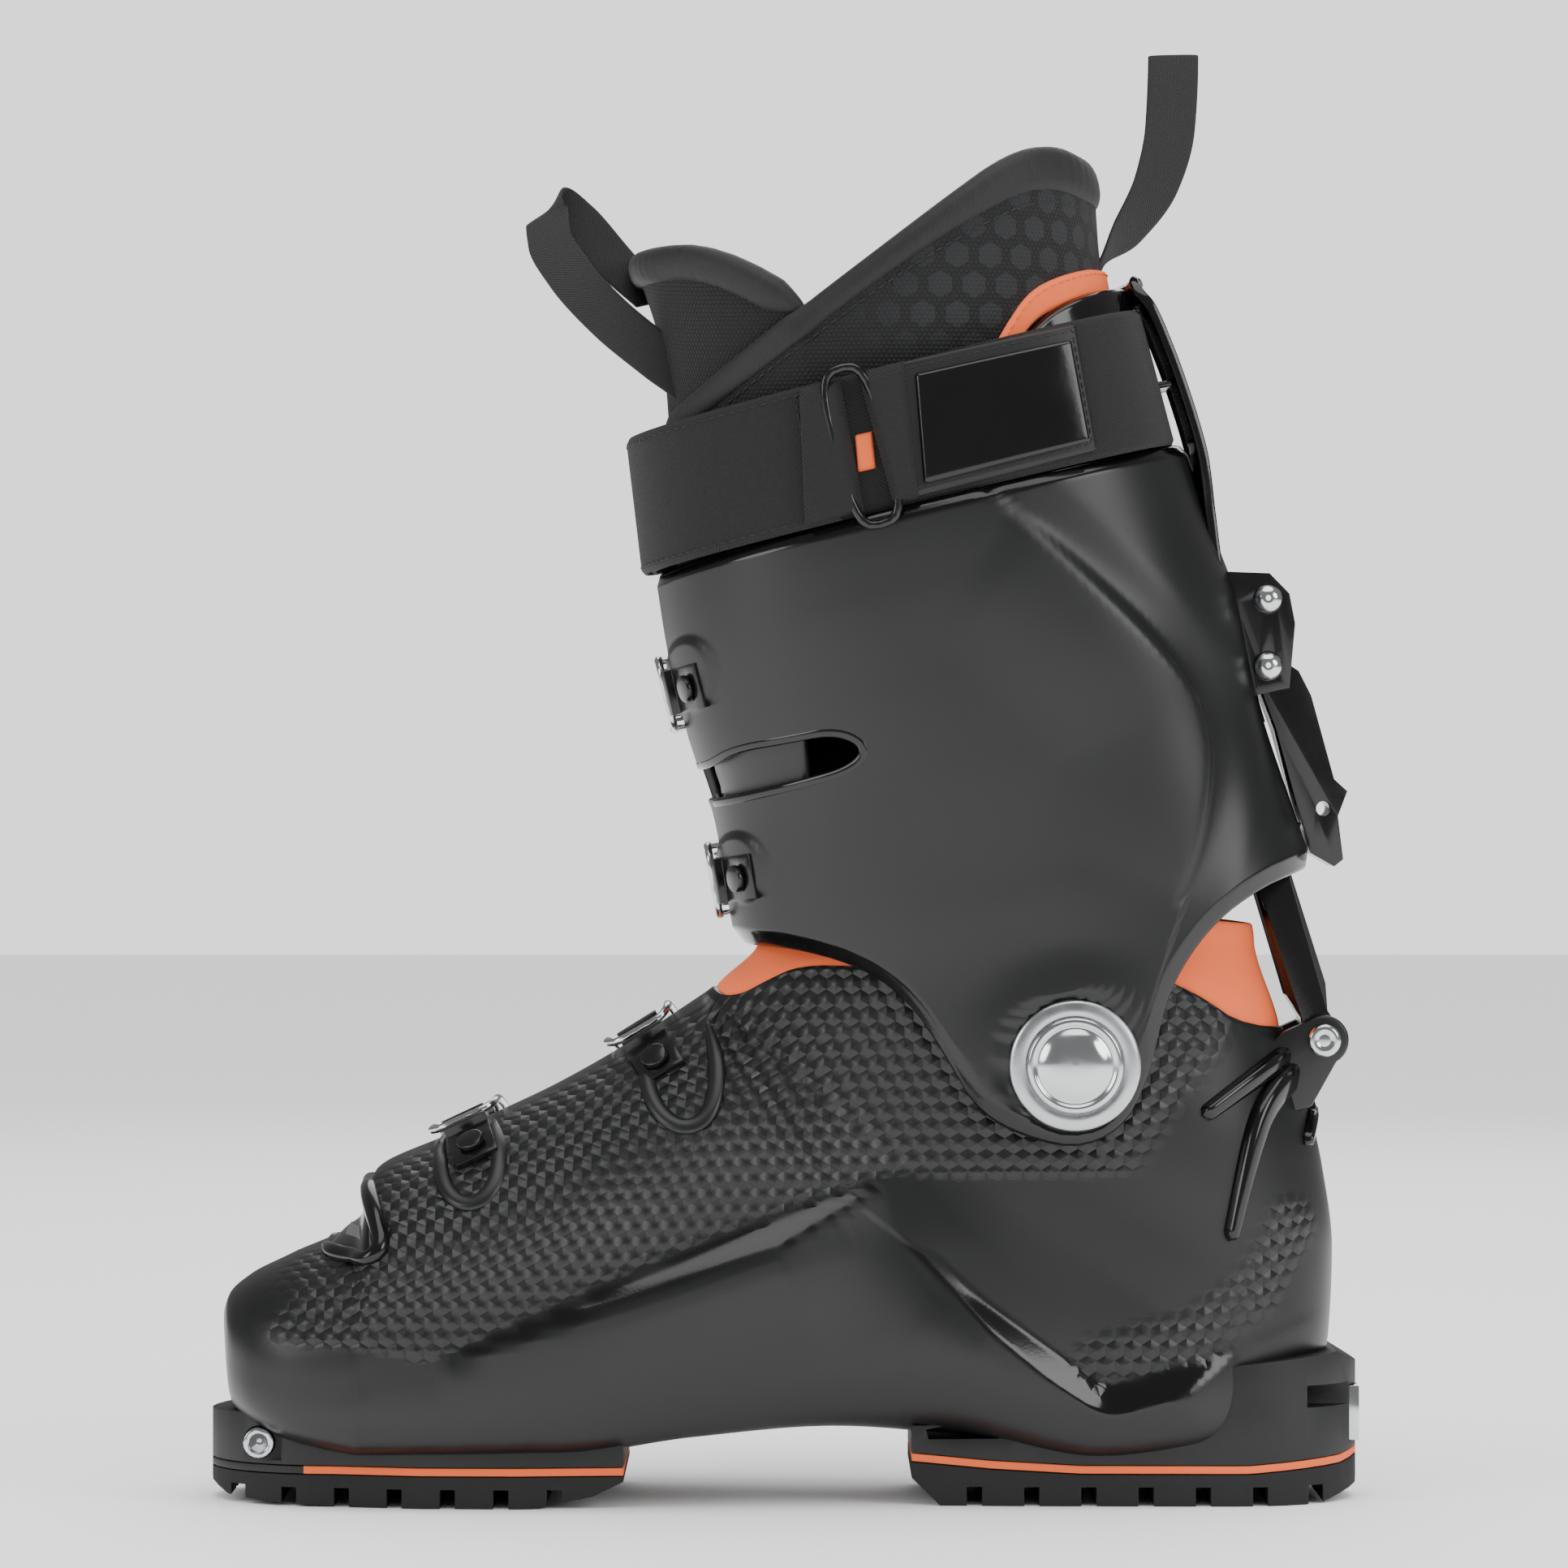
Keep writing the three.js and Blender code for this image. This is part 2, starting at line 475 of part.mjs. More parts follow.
// ---- liner -----------------------------------------------------------------------------------------
const collar = line([
  [-80, 246], [-26.2, 289], [-1.3, 308.9], [29, 331.6], [46.4, 344.6], [61.5, 355.5], [72.4, 358.7], [82, 356], [120, 350],
]);
const tongue_reach = 47; // degrees either side of the front
const leg_frame = frameOn(leg_at(0), -28, 243, 97, 66);
function frontWedge(degrees) {
  const shape = new THREE.Shape([new THREE.Vector2(0, 0), ...arc(0, 0, 170, -degrees, degrees, 6).map(([a, b]) => new THREE.Vector2(a, b))]);
  const g = new THREE.ExtrudeGeometry(shape, { depth: 260, bevelEnabled: false });
  g.translate(0, 0, -130);
  return placed(solid(g), leg_frame.n, Y, leg_frame.t.clone().negate(), leg_frame.centre);
}
const cuff_clear = hollow(cuff_stations, 20, -cuff_wall - sliding_gap);
const leg_solid = leg_at(0)
  .subtract(plate(below(leg_foot), -HALF, HALF))
  .subtract(cuff_clear.intersect(plate(below(raised(cuff_high, 1), 60), -HALF, HALF)));
const liner_cuff = leg_solid
  .subtract(loft(opened(leg_stations), -liner_wall))
  .subtract(plate(above(collar, 460), -HALF, HALF))
  .subtract(frontWedge(tongue_reach).intersect(from_z(at(0, 196)[1])));
const tongue_top = line([[-80, 326], [-36, 330], [-20, 329], [6, 314], [40, 290]]);
const liner_tongue = leg_solid
  .subtract(loft(opened(leg_stations), -tongue_wall))
  .intersect(frontWedge(tongue_reach - 0.4))
  .intersect(from_z(at(0, 197.5)[1]))
  .subtract(plate(above(tongue_top, 460), -HALF, HALF));

const front_loop_outer = line([[-26.5, 287.5], [-36.5, 297], [-59.8, 314.3], [-68.5, 335.9], [-57.6, 346.3],
  [-45.5, 337], [-38.1, 327.3]]);
const rear_loop_outer = line([[83.4, 330], [95, 336.5], [104.8, 349], [109.2, 368.4], [110, 382.5], [96.2, 384.7],
  [92.9, 364.1], [87.5, 346.8]]);
// A band bent to a closed outline, its inside drawn in by its thickness towards the middle.
function bandLoop(outline, half) {
  const middle = outline.reduce(([a, b], [x, z]) => [a + x / outline.length, b + z / outline.length], [0, 0]);
  const inner = outline.map(([x, z]) => {
    const [dx, dz] = [middle[0] - x, middle[1] - z];
    const share = (loop.thickness * 2) / Math.hypot(dx, dz);
    return [x + dx * share, z + dz * share];
  });
  return plate(outline, -half, half).subtract(plate(inner, -HALF, HALF));
}
const liner_front_loop = bandLoop(front_loop_outer, loop.width / 2).subtract(leg_at(seat_gap));
const liner_rear_loop = bandLoop(rear_loop_outer, loop.width / 2).subtract(leg_at(seat_gap));

// ---- strap -----------------------------------------------------------------------------------------
const pad_outline = line([[28.3, 298.3], [74.7, 308.6], [81.1, 276.3], [34.6, 264.2]]);
const pad_thickness = 2.4;
const strap_pad = hollow(strap_stations, seat_gap + pad_thickness, seat_gap)
  .intersect(plate(pad_outline, -HALF, 0));
const strap_ring_wire = 1.4;
function strapRing() {
  const g = new THREE.TorusGeometry(1, 0.2, 6, 24);
  const p = g.attributes.position;
  const [cx, cz] = at(20, 277);
  const lean = THREE.MathUtils.degToRad(-15);
  const [half_x, half_z] = [6.6, strap.width / 2 + 3];
  const y = -(strap_stations[0].half[0] + strap_stations[1].half[0]) * 0.5 * width_ratio - strap_ring_wire - 1.6;
  for (let i = 0; i < p.count; i++) {
    const [a, b] = [Math.atan2(p.getY(i), p.getX(i)), Math.hypot(p.getX(i), p.getY(i)) - 1];
    const [ex, ez] = [Math.sign(Math.cos(a)) * Math.abs(Math.cos(a)) ** 0.6, Math.sign(Math.sin(a)) * Math.abs(Math.sin(a)) ** 0.6];
    const grow = (b / 0.2) * strap_ring_wire;
    const [lx, lz] = [ex * (half_x + grow), ez * (half_z + grow)];
    p.setXYZ(i, cx + lx * Math.cos(lean) + lz * Math.sin(lean), y - (p.getZ(i) / 0.2) * strap_ring_wire,
      cz - lx * Math.sin(lean) + lz * Math.cos(lean));
  }
  return solid(g);
}
const strap_ring = strapRing();

// ---- lean lock -------------------------------------------------------------------------------------
const strut_angle = THREE.MathUtils.degToRad(strut.lean);
const up_strut = [-Math.sin(strut_angle), Math.cos(strut_angle)];
const across_strut = [Math.cos(strut_angle), Math.sin(strut_angle)];
const strutPoint = (along, aside) => [
  pin_x + up_strut[0] * along + across_strut[0] * aside,
  pin_z + up_strut[1] * along + across_strut[1] * aside,
];
const strut_length = strut.length * height_ratio;
const lean_strut = plate(
  [...arc(pin_x, pin_z, 5.6, 200, 370, 6), strutPoint(7, strut.half_depth), strutPoint(strut_length, strut.half_depth - 0.6),
    strutPoint(strut_length, -strut.half_depth + 0.6), strutPoint(7, -strut.half_depth)],
  -strut.half_width, strut.half_width,
)
  .subtract(rod(pin_x, pin_z, rear_pin.radius + seat_gap, -HALF, HALF))
  .subtract(plate([strutPoint(14, -9), strutPoint(14, 9), strutPoint(strut_length - 8, 9), strutPoint(strut_length - 8, -9)],
    -strut.half_width + 5, strut.half_width - 5));

const cuff_grown = cuff_at(seat_gap);
const bracket_outline = line([[112, 246], [128.7, 245.4], [134, 240], [135.5, 232], [134, 215], [125, 213], [112, 222]]);
const lock_bracket = plate(bracket_outline, -lock.ear, lock.ear)
  .subtract(cuff_grown)
  .subtract(box(0, 200, -lock.flange - seat_gap, lock.flange + seat_gap, 0, lock_z - 3.2))
  .subtract(rod(lock_x, lock_z, lock.pin + seat_gap, -HALF, HALF))
  .subtract(rod(arm_x, arm_z, lock.pin + seat_gap, -HALF, HALF));
const headed = (x, z) => {
  const reach = lock.ear + seat_gap;
  return rod(x, z, lock.pin, -reach - 0.6, reach + 0.6)
    .add(rod(x, z, lock.rivet - 1.2, -reach - 1.6, -reach, lock.rivet))
    .add(rod(x, z, lock.rivet, reach, reach + 1.6, lock.rivet - 1.2));
};
const lock_rivet = headed(lock_x, lock_z);
const lock_hinge_pin = headed(arm_x, arm_z);
const lever_outline = line([[136.6, 219.5], [139.9, 213], [146, 190.8], [149.5, 187.6], [147, 181],
  [148.4, 169.5], [146, 167.6], [139.5, 171.3], [136.6, 182.1], [130.6, 203.8], [126.3, 215.4]]);
const lever_head = arc(arm_x, arm_z, 3.7, 180, 60, 4);
const [ring_x, ring_z] = at(143.2, 183);
const lock_lever = plate([...lever_outline, ...lever_head], -lock.flange, lock.flange)
  .subtract(rod(arm_x, arm_z, lock.pin + seat_gap, -HALF, HALF))
  .subtract(rod(ring_x, ring_z, 2, -HALF, HALF))
  .subtract(cuff_at(seat_gap + 0.3));

// ---- buckles ---------------------------------------------------------------------------------------
// Places round the shell in mm from its top line: medial is negative, lateral positive.
const round = { rack_tip: -2, tooth: -8, hook: -11.3, screw: -29, rack_end: -35, base_from: 22, base_to: 56,
  hinge: 30, bail_pin: 38.5, lever_end: 74 };

function buckle(shape, grown, x, z, tilt, depth) {
  const frame = frameOn(shape, x, z, tilt, depth);
  const { t, on } = frame;
  const strip = (from, to, count, width, low, high) =>
    ribbon(span(from, to, count).map((b) => on(b, 0, (low + high) / 2)), width, high - low);
  const pegged = (p, s, up, radius, length) => {
    const g = new THREE.CylinderGeometry(radius, radius, length, 14);
    g.rotateZ(Math.PI / 2);
    return placed(solid(g), t, s, up, p);
  };

  const rack_top = seat_gap + rack.thickness;
  const teeth = [0, 1, 2].map((i) => {
    const b = round.tooth - i * rack.pitch;
    return strip(b - 1.3, b + 1.3, 1, rack.half_width * 2, rack_top - 0.4, rack_top + rack.tooth);
  });
  const screw = on(round.screw, 0, 0);
  const screwAt = (radius, low, high) => {
    const g = new THREE.CylinderGeometry(radius, radius, high - low, 16);
    g.rotateX(Math.PI / 2);
    g.translate(0, 0, (low + high) / 2);
    return placed(solid(g), t, screw.s, screw.up, screw.p);
  };
  const catch_rack = strip(round.rack_end, round.rack_tip, 8, rack.half_width * 2, -1, rack_top)
    .add(all(...teeth.slice(0, 2)))
    .subtract(grown)
    .subtract(screwAt(rack.screw - 1 + seat_gap, -2, 6));
  const catch_screw = screwAt(rack.screw, rack_top + seat_gap, rack_top + 2)
    .add(screwAt(rack.screw - 1, seat_gap + 0.6, rack_top + 1))
    .subtract(grown);

  const hinge = on(round.hinge, 0, lever.hinge_height);
  const base_top = seat_gap + base.thickness;
  const ear_outline = new THREE.Shape([[-5, -4.6], [5, -4.6], ...arc(0, 0, 3.2, -10, 190, 6)].map(([a, b]) => new THREE.Vector2(a, b)));
  const ear_plates = [-base.half_width, base.half_width - base.ear].map((u) => {
    const g = new THREE.ExtrudeGeometry(ear_outline, { depth: base.ear, bevelEnabled: false });
    g.translate(0, 0, u);
    return placed(solid(g), hinge.s, hinge.up, t, hinge.p);
  });
  const buckle_base = strip(round.base_from, round.base_to, 8, base.half_width * 2, -1, base_top)
    .add(all(...ear_plates))
    .subtract(grown)
    .subtract(pegged(hinge.p, hinge.s, hinge.up, pin_hole, 40));
  const pin = pegged(hinge.p, hinge.s, hinge.up, hinge_pin, base.half_width * 2 + 0.8);

  const buckle_lever = strip(round.hinge, round.lever_end, 8, lever.half_width * 2, lever.low, lever.high)
    .add(pegged(hinge.p, hinge.s, hinge.up, lever.barrel, lever.half_width * 2))
    .subtract(pegged(hinge.p, hinge.s, hinge.up, pin_hole, 40));

  const leg = (u) => [
    on(round.bail_pin, u, lever.hinge_height).p,
    ...span(round.bail_pin - 5, round.hook + 4, 6).map((b, i) =>
      on(b, u, lever.hinge_height + ((bail.height - lever.hinge_height) * Math.min(1, i / 4))).p),
  ];
  const corner = 2;
  const path = [
    on(round.bail_pin, lever.half_width + seat_gap, lever.hinge_height).p,
    on(round.bail_pin, bail.half_width - corner, lever.hinge_height).p,
    on(round.bail_pin - corner, bail.half_width, lever.hinge_height).p,
    ...leg(bail.half_width).slice(1),
    on(round.hook, bail.half_width - corner, bail.height).p,
    on(round.hook, 0, bail.height).p,
    on(round.hook, -bail.half_width + corner, bail.height).p,
    ...leg(-bail.half_width).slice(1).reverse(),
    on(round.bail_pin - corner, -bail.half_width, lever.hinge_height).p,
    on(round.bail_pin, -bail.half_width + corner, lever.hinge_height).p,
    on(round.bail_pin, -lever.half_width - seat_gap, lever.hinge_height).p,
  ];
  const buckle_bail = wire(path, bail.wire, 32);
  const bail_eye = on(round.bail_pin, 0, lever.hinge_height).p;
  const hinges = { lever_hinge: hinge.p, bail_hinge: bail_eye, axis: t };
  return { hinges, solids: { catch_rack, catch_screw, buckle_base, hinge_pin: pin, buckle_lever, buckle_bail } };
}

const buckles = {
  toe: buckle(shell_outer, shell_grown, -84, 98.7, 25, 42),
  instep: buckle(shell_outer, shell_grown, -37.5, 123.2, 32, 42),
  lower: buckle(cuff_at(0), cuff_grown, -16.2, 164, 99, 58),
  upper: buckle(cuff_at(0), cuff_grown, -28.5, 214, 103, 62),
};

const seal_outline = line([[-127, 67.5], [-111.5, 75.5], [-109.8, 84], [-112, 60], [-121, 58]]);
const toe_seal = shell_at(seat_gap + 1).subtract(shell_grown).intersect(plate(seal_outline, -HALF, 0));

// ---- colours and finishes --------------------------------------------------------------------------
const finish = (color, roughness, metalness = 0) => new THREE.MeshStandardMaterial({ color, roughness, metalness });
const looks = {
  shell: [0x2a2b2c, 0.42],
  sole: [0x1b1b1b, 0.85],
  orange: [0xf0642a, 0.7],
  steel: [0xb9bcbd, 0.25, 1],
  black_steel: [0x1d1d1e, 0.35, 0.6],
  fabric: [0x242526, 0.95],
  webbing: [0x1e1f20, 0.9],
  vinyl: [0x19191a, 0.35],
};

const pieces = [
  ["clog_shell", clog_shell, "shell"],
  ["toe_sole_block", toe_sole_block, "sole"],
  ["toe_midsole", layer(toe_plan, between(raised(toe_tread_top, seat_gap), raised(toe_tread_top, seat_gap + midsole))), "orange"],
  ["toe_tread", tread(toe_plan, toe_ground, toe_tread_top, -146 * length_ratio, -48 * length_ratio, 14), "sole"],
  ["heel_sole_block", heel_sole_block, "sole"],
  ["heel_midsole", layer(heel_plan, between(raised(heel_tread_top, seat_gap), raised(heel_tread_top, seat_gap + midsole))), "orange"],
  ["heel_tread", tread(heel_plan, heel_ground, heel_tread_top, 48 * length_ratio, 144 * length_ratio, 15), "sole"],
  ["toe_insert", toe_insert, "steel"],
  ["heel_insert", heel_insert, "steel"],
  ["heel_insert_screw", heel_insert_screw, "steel"],
  ["boot_board", boot_board, "sole"],
  ["footbed", footbed, "fabric"],
  ["liner_foot", liner_foot, "fabric"],
  ["gaiter", gaiter, "orange"],
  ["toe_seal", toe_seal, "vinyl"],
  ["strut_pin", strut_pin, "steel"],
  ["pivot_rivet_medial", medial_pivot.rivet, "steel"],
  ["pivot_rivet_lateral", lateral_pivot.rivet, "steel"],
  ["pivot_washer_medial", medial_pivot.washer, "steel"],
  ["pivot_washer_lateral", lateral_pivot.washer, "steel"],
  ["cuff_shell", cuff_shell, "shell"],
  ["liner_cuff", liner_cuff, "fabric"],
  ["liner_tongue", liner_tongue, "fabric"],
  ["liner_front_loop", liner_front_loop, "webbing"],
  ["liner_rear_loop", liner_rear_loop, "webbing"],
  ["power_strap", strap_band, "webbing"],
  ["strap_pad", strap_pad, "vinyl"],
  ["strap_ring", strap_ring, "black_steel"],
  ["lean_strut", lean_strut, "black_steel"],
  ["lock_bracket", lock_bracket, "black_steel"],
  ["lock_rivet", lock_rivet, "steel"],
  ["lock_hinge_pin", lock_hinge_pin, "steel"],
  ["lock_lever", lock_lever, "black_steel"],
];
const buckle_looks = { catch_rack: "sole", catch_screw: "black_steel", buckle_base: "black_steel",
  hinge_pin: "steel", buckle_lever: "black_steel", buckle_bail: "steel" };
for (const [place, { solids }] of Object.entries(buckles)) {
  for (const [kind, made] of Object.entries(solids)) pieces.push([`${place}_${kind}`, made, buckle_looks[kind]]);
}

const group = new THREE.Group();
for (const [name, made, look] of pieces) {
  const mesh = new THREE.Mesh(geometryOf(made), finish(...looks[look]));
  mesh.name = name;
  group.add(mesh);
}

// The origin is at the middle of the footprint, so the boot is moved sideways to be centred on it.
const whole = new THREE.Box3().setFromObject(group);
group.position.y = -(whole.min.y + whole.max.y) / 2;

// Where each moving piece turns, in the part's own frame.
const moved = (x, y, z) => [x, y + group.position.y, z];
group.userData.hinges = {
  cuff: { at: moved(pivot_x, 0, pivot_z), axis: [0, -1, 0] },
  lean_strut: { at: moved(pin_x, 0, pin_z), axis: [0, -1, 0] },
  lock_lever: { at: moved(arm_x, 0, arm_z), axis: [0, -1, 0] },
};
for (const [place, { hinges }] of Object.entries(buckles)) {
  group.userData.hinges[`${place}_lever`] = { at: moved(...hinges.lever_hinge), axis: hinges.axis.toArray() };
  group.userData.hinges[`${place}_bail`] = { at: moved(...hinges.bail_hinge), axis: hinges.axis.toArray() };
}

export default group;
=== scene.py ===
import json

import bmesh
import bpy
import numpy as np
from bpy.props import FloatProperty, FloatVectorProperty, IntProperty, PointerProperty
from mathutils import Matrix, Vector

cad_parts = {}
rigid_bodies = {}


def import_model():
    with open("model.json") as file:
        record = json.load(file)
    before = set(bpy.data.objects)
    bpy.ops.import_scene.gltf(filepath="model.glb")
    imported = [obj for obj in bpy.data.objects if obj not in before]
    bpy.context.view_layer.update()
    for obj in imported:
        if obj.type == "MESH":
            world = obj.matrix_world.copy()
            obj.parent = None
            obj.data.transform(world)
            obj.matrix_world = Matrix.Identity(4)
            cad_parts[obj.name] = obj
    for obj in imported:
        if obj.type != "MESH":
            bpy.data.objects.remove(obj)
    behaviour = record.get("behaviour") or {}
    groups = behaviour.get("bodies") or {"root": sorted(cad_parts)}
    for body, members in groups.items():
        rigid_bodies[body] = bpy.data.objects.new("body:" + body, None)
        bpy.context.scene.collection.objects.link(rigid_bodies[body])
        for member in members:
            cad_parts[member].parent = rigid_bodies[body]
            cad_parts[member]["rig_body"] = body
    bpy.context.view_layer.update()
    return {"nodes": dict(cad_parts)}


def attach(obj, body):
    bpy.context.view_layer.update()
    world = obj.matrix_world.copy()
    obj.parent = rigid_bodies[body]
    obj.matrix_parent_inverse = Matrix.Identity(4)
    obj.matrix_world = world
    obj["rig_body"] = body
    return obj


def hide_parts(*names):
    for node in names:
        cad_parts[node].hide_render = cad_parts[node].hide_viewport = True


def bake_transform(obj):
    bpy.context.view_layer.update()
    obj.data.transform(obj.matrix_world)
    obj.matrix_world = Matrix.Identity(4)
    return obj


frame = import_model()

bl_info = {
    "name": "Ski touring boot",
    "version": (1, 0, 0),
    "blender": (4, 5, 0),
    "location": "3D View > Sidebar > Boot",
    "description": "Builds the surfaces and finishes of a hinged ski touring boot",
    "category": "Add Mesh",
}

MM = 0.001
TAU = 2 * np.pi

# ---- sections of the boot, in millimetres ----------------------------------------------------------
# Each row is one slanting section: its top point x z, its bottom point x z, its medial and lateral half
# widths, where it is widest from 0 at the top to 1 at the bottom, and how square its top and bottom are.
SHELL = np.array([
    [-149.2, 48.4, -149.1, 45.4, 1.5, 1.5, 0.5, 2.2, 2.2],
    [-149, 50, -148.8, 43, 8, 7, 0.5, 2.3, 2.3],
    [-148.6, 51.4, -148.1, 38, 14, 12, 0.5, 2.4, 2.4],
    [-147.3, 54.5, -146.2, 25, 25, 22, 0.55, 2.6, 3],
    [-142, 59, -142, 22, 34, 31, 0.6, 2.5, 3.8],
    [-131, 64.5, -130, 16, 43, 41, 0.62, 2.4, 4.4],
    [-112.5, 74, -112, 12.7, 49, 48, 0.64, 2.3, 5],
    [-109, 86.3, -108.6, 12.5, 49.5, 49, 0.66, 2.2, 5],
    [-88, 96.8, -88, 12.4, 51.5, 52, 0.68, 2.1, 5],
    [-60, 110, -58, 12.8, 52, 53, 0.68, 2.1, 5],
    [-40, 121.5, -24, 17, 50, 52, 0.66, 2, 4.4],
    [-27, 130, 12, 19.5, 47.5, 50, 0.62, 2, 3.8],
    [-22.5, 133, 46, 17, 45, 47, 0.58, 2, 3.6],
    [-21.6, 133.6, 84, 11.8, 43, 44.5, 0.55, 2, 4],
    [-21, 134, 118, 12, 42, 43, 0.54, 2, 3.6],
    [-20.6, 134.3, 139, 25, 41.5, 42.5, 0.52, 2, 2.6],
    [-20.2, 134.6, 145.2, 44, 41.5, 42.5, 0.52, 2, 2.3],
    [-19.8, 134.9, 146.2, 66, 41.5, 42.5, 0.54, 2, 2.2],
    [-19.4, 135.2, 143.5, 88, 41.5, 42, 0.56, 2, 2.2],
    [-16, 138.5, 138, 110, 41, 41.5, 0.57, 2, 2.2],
    [-6, 150, 131, 131, 41, 41.5, 0.56, 2, 2.2],
    [4, 165, 126, 152, 41, 41.5, 0.55, 2, 2.2],
])
CUFF = np.array([
    [8, 62, 150, 98, 47.5, 48.5, 0.5, 2.4, 2.4],
    [-5, 118, 147, 152, 47.5, 48.5, 0.5, 2.5, 2.4],
    [-13.2, 148.6, 138, 178, 49, 50, 0.5, 2.5, 2.4],
    [-18.6, 180, 126, 214, 52, 53, 0.5, 2.4, 2.4],
    [-26, 203.5, 121, 238, 54, 55, 0.5, 2.4, 2.4],
    [-31.2, 225.5, 113, 260, 55.5, 56.5, 0.5, 2.4, 2.4],
    [-34, 243, 107, 279, 56, 57, 0.5, 2.4, 2.4],
    [-38, 270, 98, 306, 56, 57, 0.5, 2.4, 2.4],
])
LEG = np.array([
    [0, 120, 116, 140, 37, 38, 0.5, 2.2, 2.2],
    [-6, 150, 113, 172, 40, 41, 0.5, 2.2, 2.2],
    [-13, 182, 108, 205, 46, 47, 0.5, 2.2, 2.2],
    [-22, 212, 104, 238, 49, 50, 0.5, 2.2, 2.2],
    [-28, 243, 97, 273, 50.5, 51.5, 0.5, 2.2, 2.2],
    [-30, 275, 88, 306, 50, 51, 0.5, 2.2, 2.2],
    [-33, 310, 83, 335, 50, 51, 0.5, 2.2, 2.2],
    [-42, 345, 82, 372, 50, 51, 0.5, 2.2, 2.2],
])
STRAP = np.array([
    [-36, 245.5, 104, 279.5, 54.5, 55.5, 0.5, 2.4, 3.2],
    [-40.3, 281.5, 94.6, 315, 53.5, 54.5, 0.5, 2.4, 3.2],
])
TOE_SECTIONS = 7  # the sections that move forward as the shell grows

RIM = [(-40, 200), (-24, 146), (-19, 133.6), (-12, 133.5), (-5, 137.4), (4, 141.8), (20, 141.5), (60, 142),
       (92, 140.5), (107.5, 135.3), (122.4, 124.7), (150, 124.7)]
CUFF_LOW = [(-60, 148), (-11, 147), (4, 145.7), (20, 140.9), (32.6, 131.5), (42.1, 116.7), (49.5, 104.1),
            (62.1, 97.8), (76.9, 94.6), (89.6, 101), (96, 114.7), (100.3, 133.6), (109, 148.4), (120, 158.9),
            (135.9, 167.2), (170, 176)]
CUFF_HIGH = [(-60, 243), (-33, 244.4), (-29, 246.4), (28.3, 260.4), (101.1, 278.2), (150, 290)]
COLLAR = [(-80, 246), (-26.2, 289), (-1.3, 308.9), (29, 331.6), (46.4, 344.6), (61.5, 355.5), (72.4, 358.7),
          (82, 356), (120, 350)]
LEG_FOOT = [(-60, 139.3), (150, 178.4)]
TONGUE_TOP = [(-80, 326), (-36, 330), (-20, 329), (6, 314), (40, 290)]
FLAP_SLOT = [(-60, 185.2), (-60, 194), (-20.7, 194), (-14.1, 198.3), (13.6, 203.1), (20.8, 199.2), (17.8, 193.9),
             (4, 189.7), (-17.5, 184.8)]
PIVOT = (75.8, 116.2)
WASHER_SEAT = {"medial": 46.4, "lateral": 47.4}  # how far out each pivot washer lies on the cuff
SEAT_EDGE = (17.4, 18.6)  # the flat seat under the washer ends between these radii
REAR_PIN = (142.9, 121.7)
SIDES = {"medial": -1, "lateral": 1}

# ---- surfaces --------------------------------------------------------------------------------------


def smooth_between(values, u):
    """Monotone cubic through values at 0, 1, 2 and so on: each span is a Hermite cubic whose end slopes are
    the harmonic mean of the slopes either side, or nought at a turn."""
    slope = np.diff(values, axis=0)
    before, after = slope[:-1], slope[1:]
    same = before * after > 0
    inner = np.where(same, 2 * before * after / np.where(same, before + after, 1), 0)
    tangent = np.concatenate([slope[:1], inner, slope[-1:]])
    u = np.asarray(u, float)
    k = np.clip(np.floor(u).astype(int), 0, len(values) - 2)
    t = (u - k)[..., None]
    return (
        values[k] * (2 * t**3 - 3 * t**2 + 1)
        + tangent[k] * (t**3 - 2 * t**2 + t)
        + values[k + 1] * (3 * t**2 - 2 * t**3)
        + tangent[k + 1] * (t**3 - t**2)
    )


def ramp(low, high, x):
    """0 below low, 1 above high, and 3t^2 - 2t^3 between them."""
    t = np.clip((x - low) / (high - low), 0, 1)
    return t * t * (3 - 2 * t)


def unit(v):
    """Each vector divided by its own length."""
    return v / np.maximum(np.linalg.norm(v, axis=-1, keepdims=True), 1e-9)


def way_along(points):
    """The length walked to each point along the first axis, from nought."""
    step = np.linalg.norm(np.diff(points, axis=0), axis=-1)
    return np.concatenate([np.zeros_like(step[:1]), np.cumsum(step, axis=0)])


def skin(sections, u, angle, offset=0.0, nose=0):
    """The boot's skin at section u and an angle round it: a superellipse whose top and bottom halves have
    their own squareness, stood on the line from the section's top point to its bottom one, and grown by
    offset. The first sections also move forward by the offset, for a round toe."""
    u, angle, offset = np.broadcast_arrays(np.asarray(u, float), angle, offset)
    s = smooth_between(sections, u)
    top, end = s[..., 0:2], s[..., 2:4]
    down = unit(end - top)
    top = top - down * offset[..., None]
    end = end + down * offset[..., None]
    c, n = np.cos(angle), np.sin(angle)
    power = 2 / np.where(n > 0, s[..., 7], s[..., 8])
    half = np.where(c < 0, s[..., 4], s[..., 5]) + offset
    reach = np.abs(n) ** power
    along = np.where(n > 0, s[..., 6] * (1 - reach), s[..., 6] + (1 - s[..., 6]) * reach)
    flat = top + along[..., None] * (end - top)
    forward = np.maximum(0, 1 - u / nose) * offset if nose else 0
    return np.stack([flat[..., 0] - forward, np.sign(c) * half * np.abs(c) ** power, flat[..., 1]], -1)


def rounded(line, times=2):
    """Chaikin's rule: each corner is cut at a quarter and three quarters of the way, keeping both ends."""
    line = np.array(line, float)
    for _ in range(times):
        a, b = line[:-1], line[1:]
        cut = np.stack([a * 0.75 + b * 0.25, a * 0.25 + b * 0.75], 1).reshape(-1, 2)
        line = np.concatenate([line[:1], cut, line[-1:]])
    return line


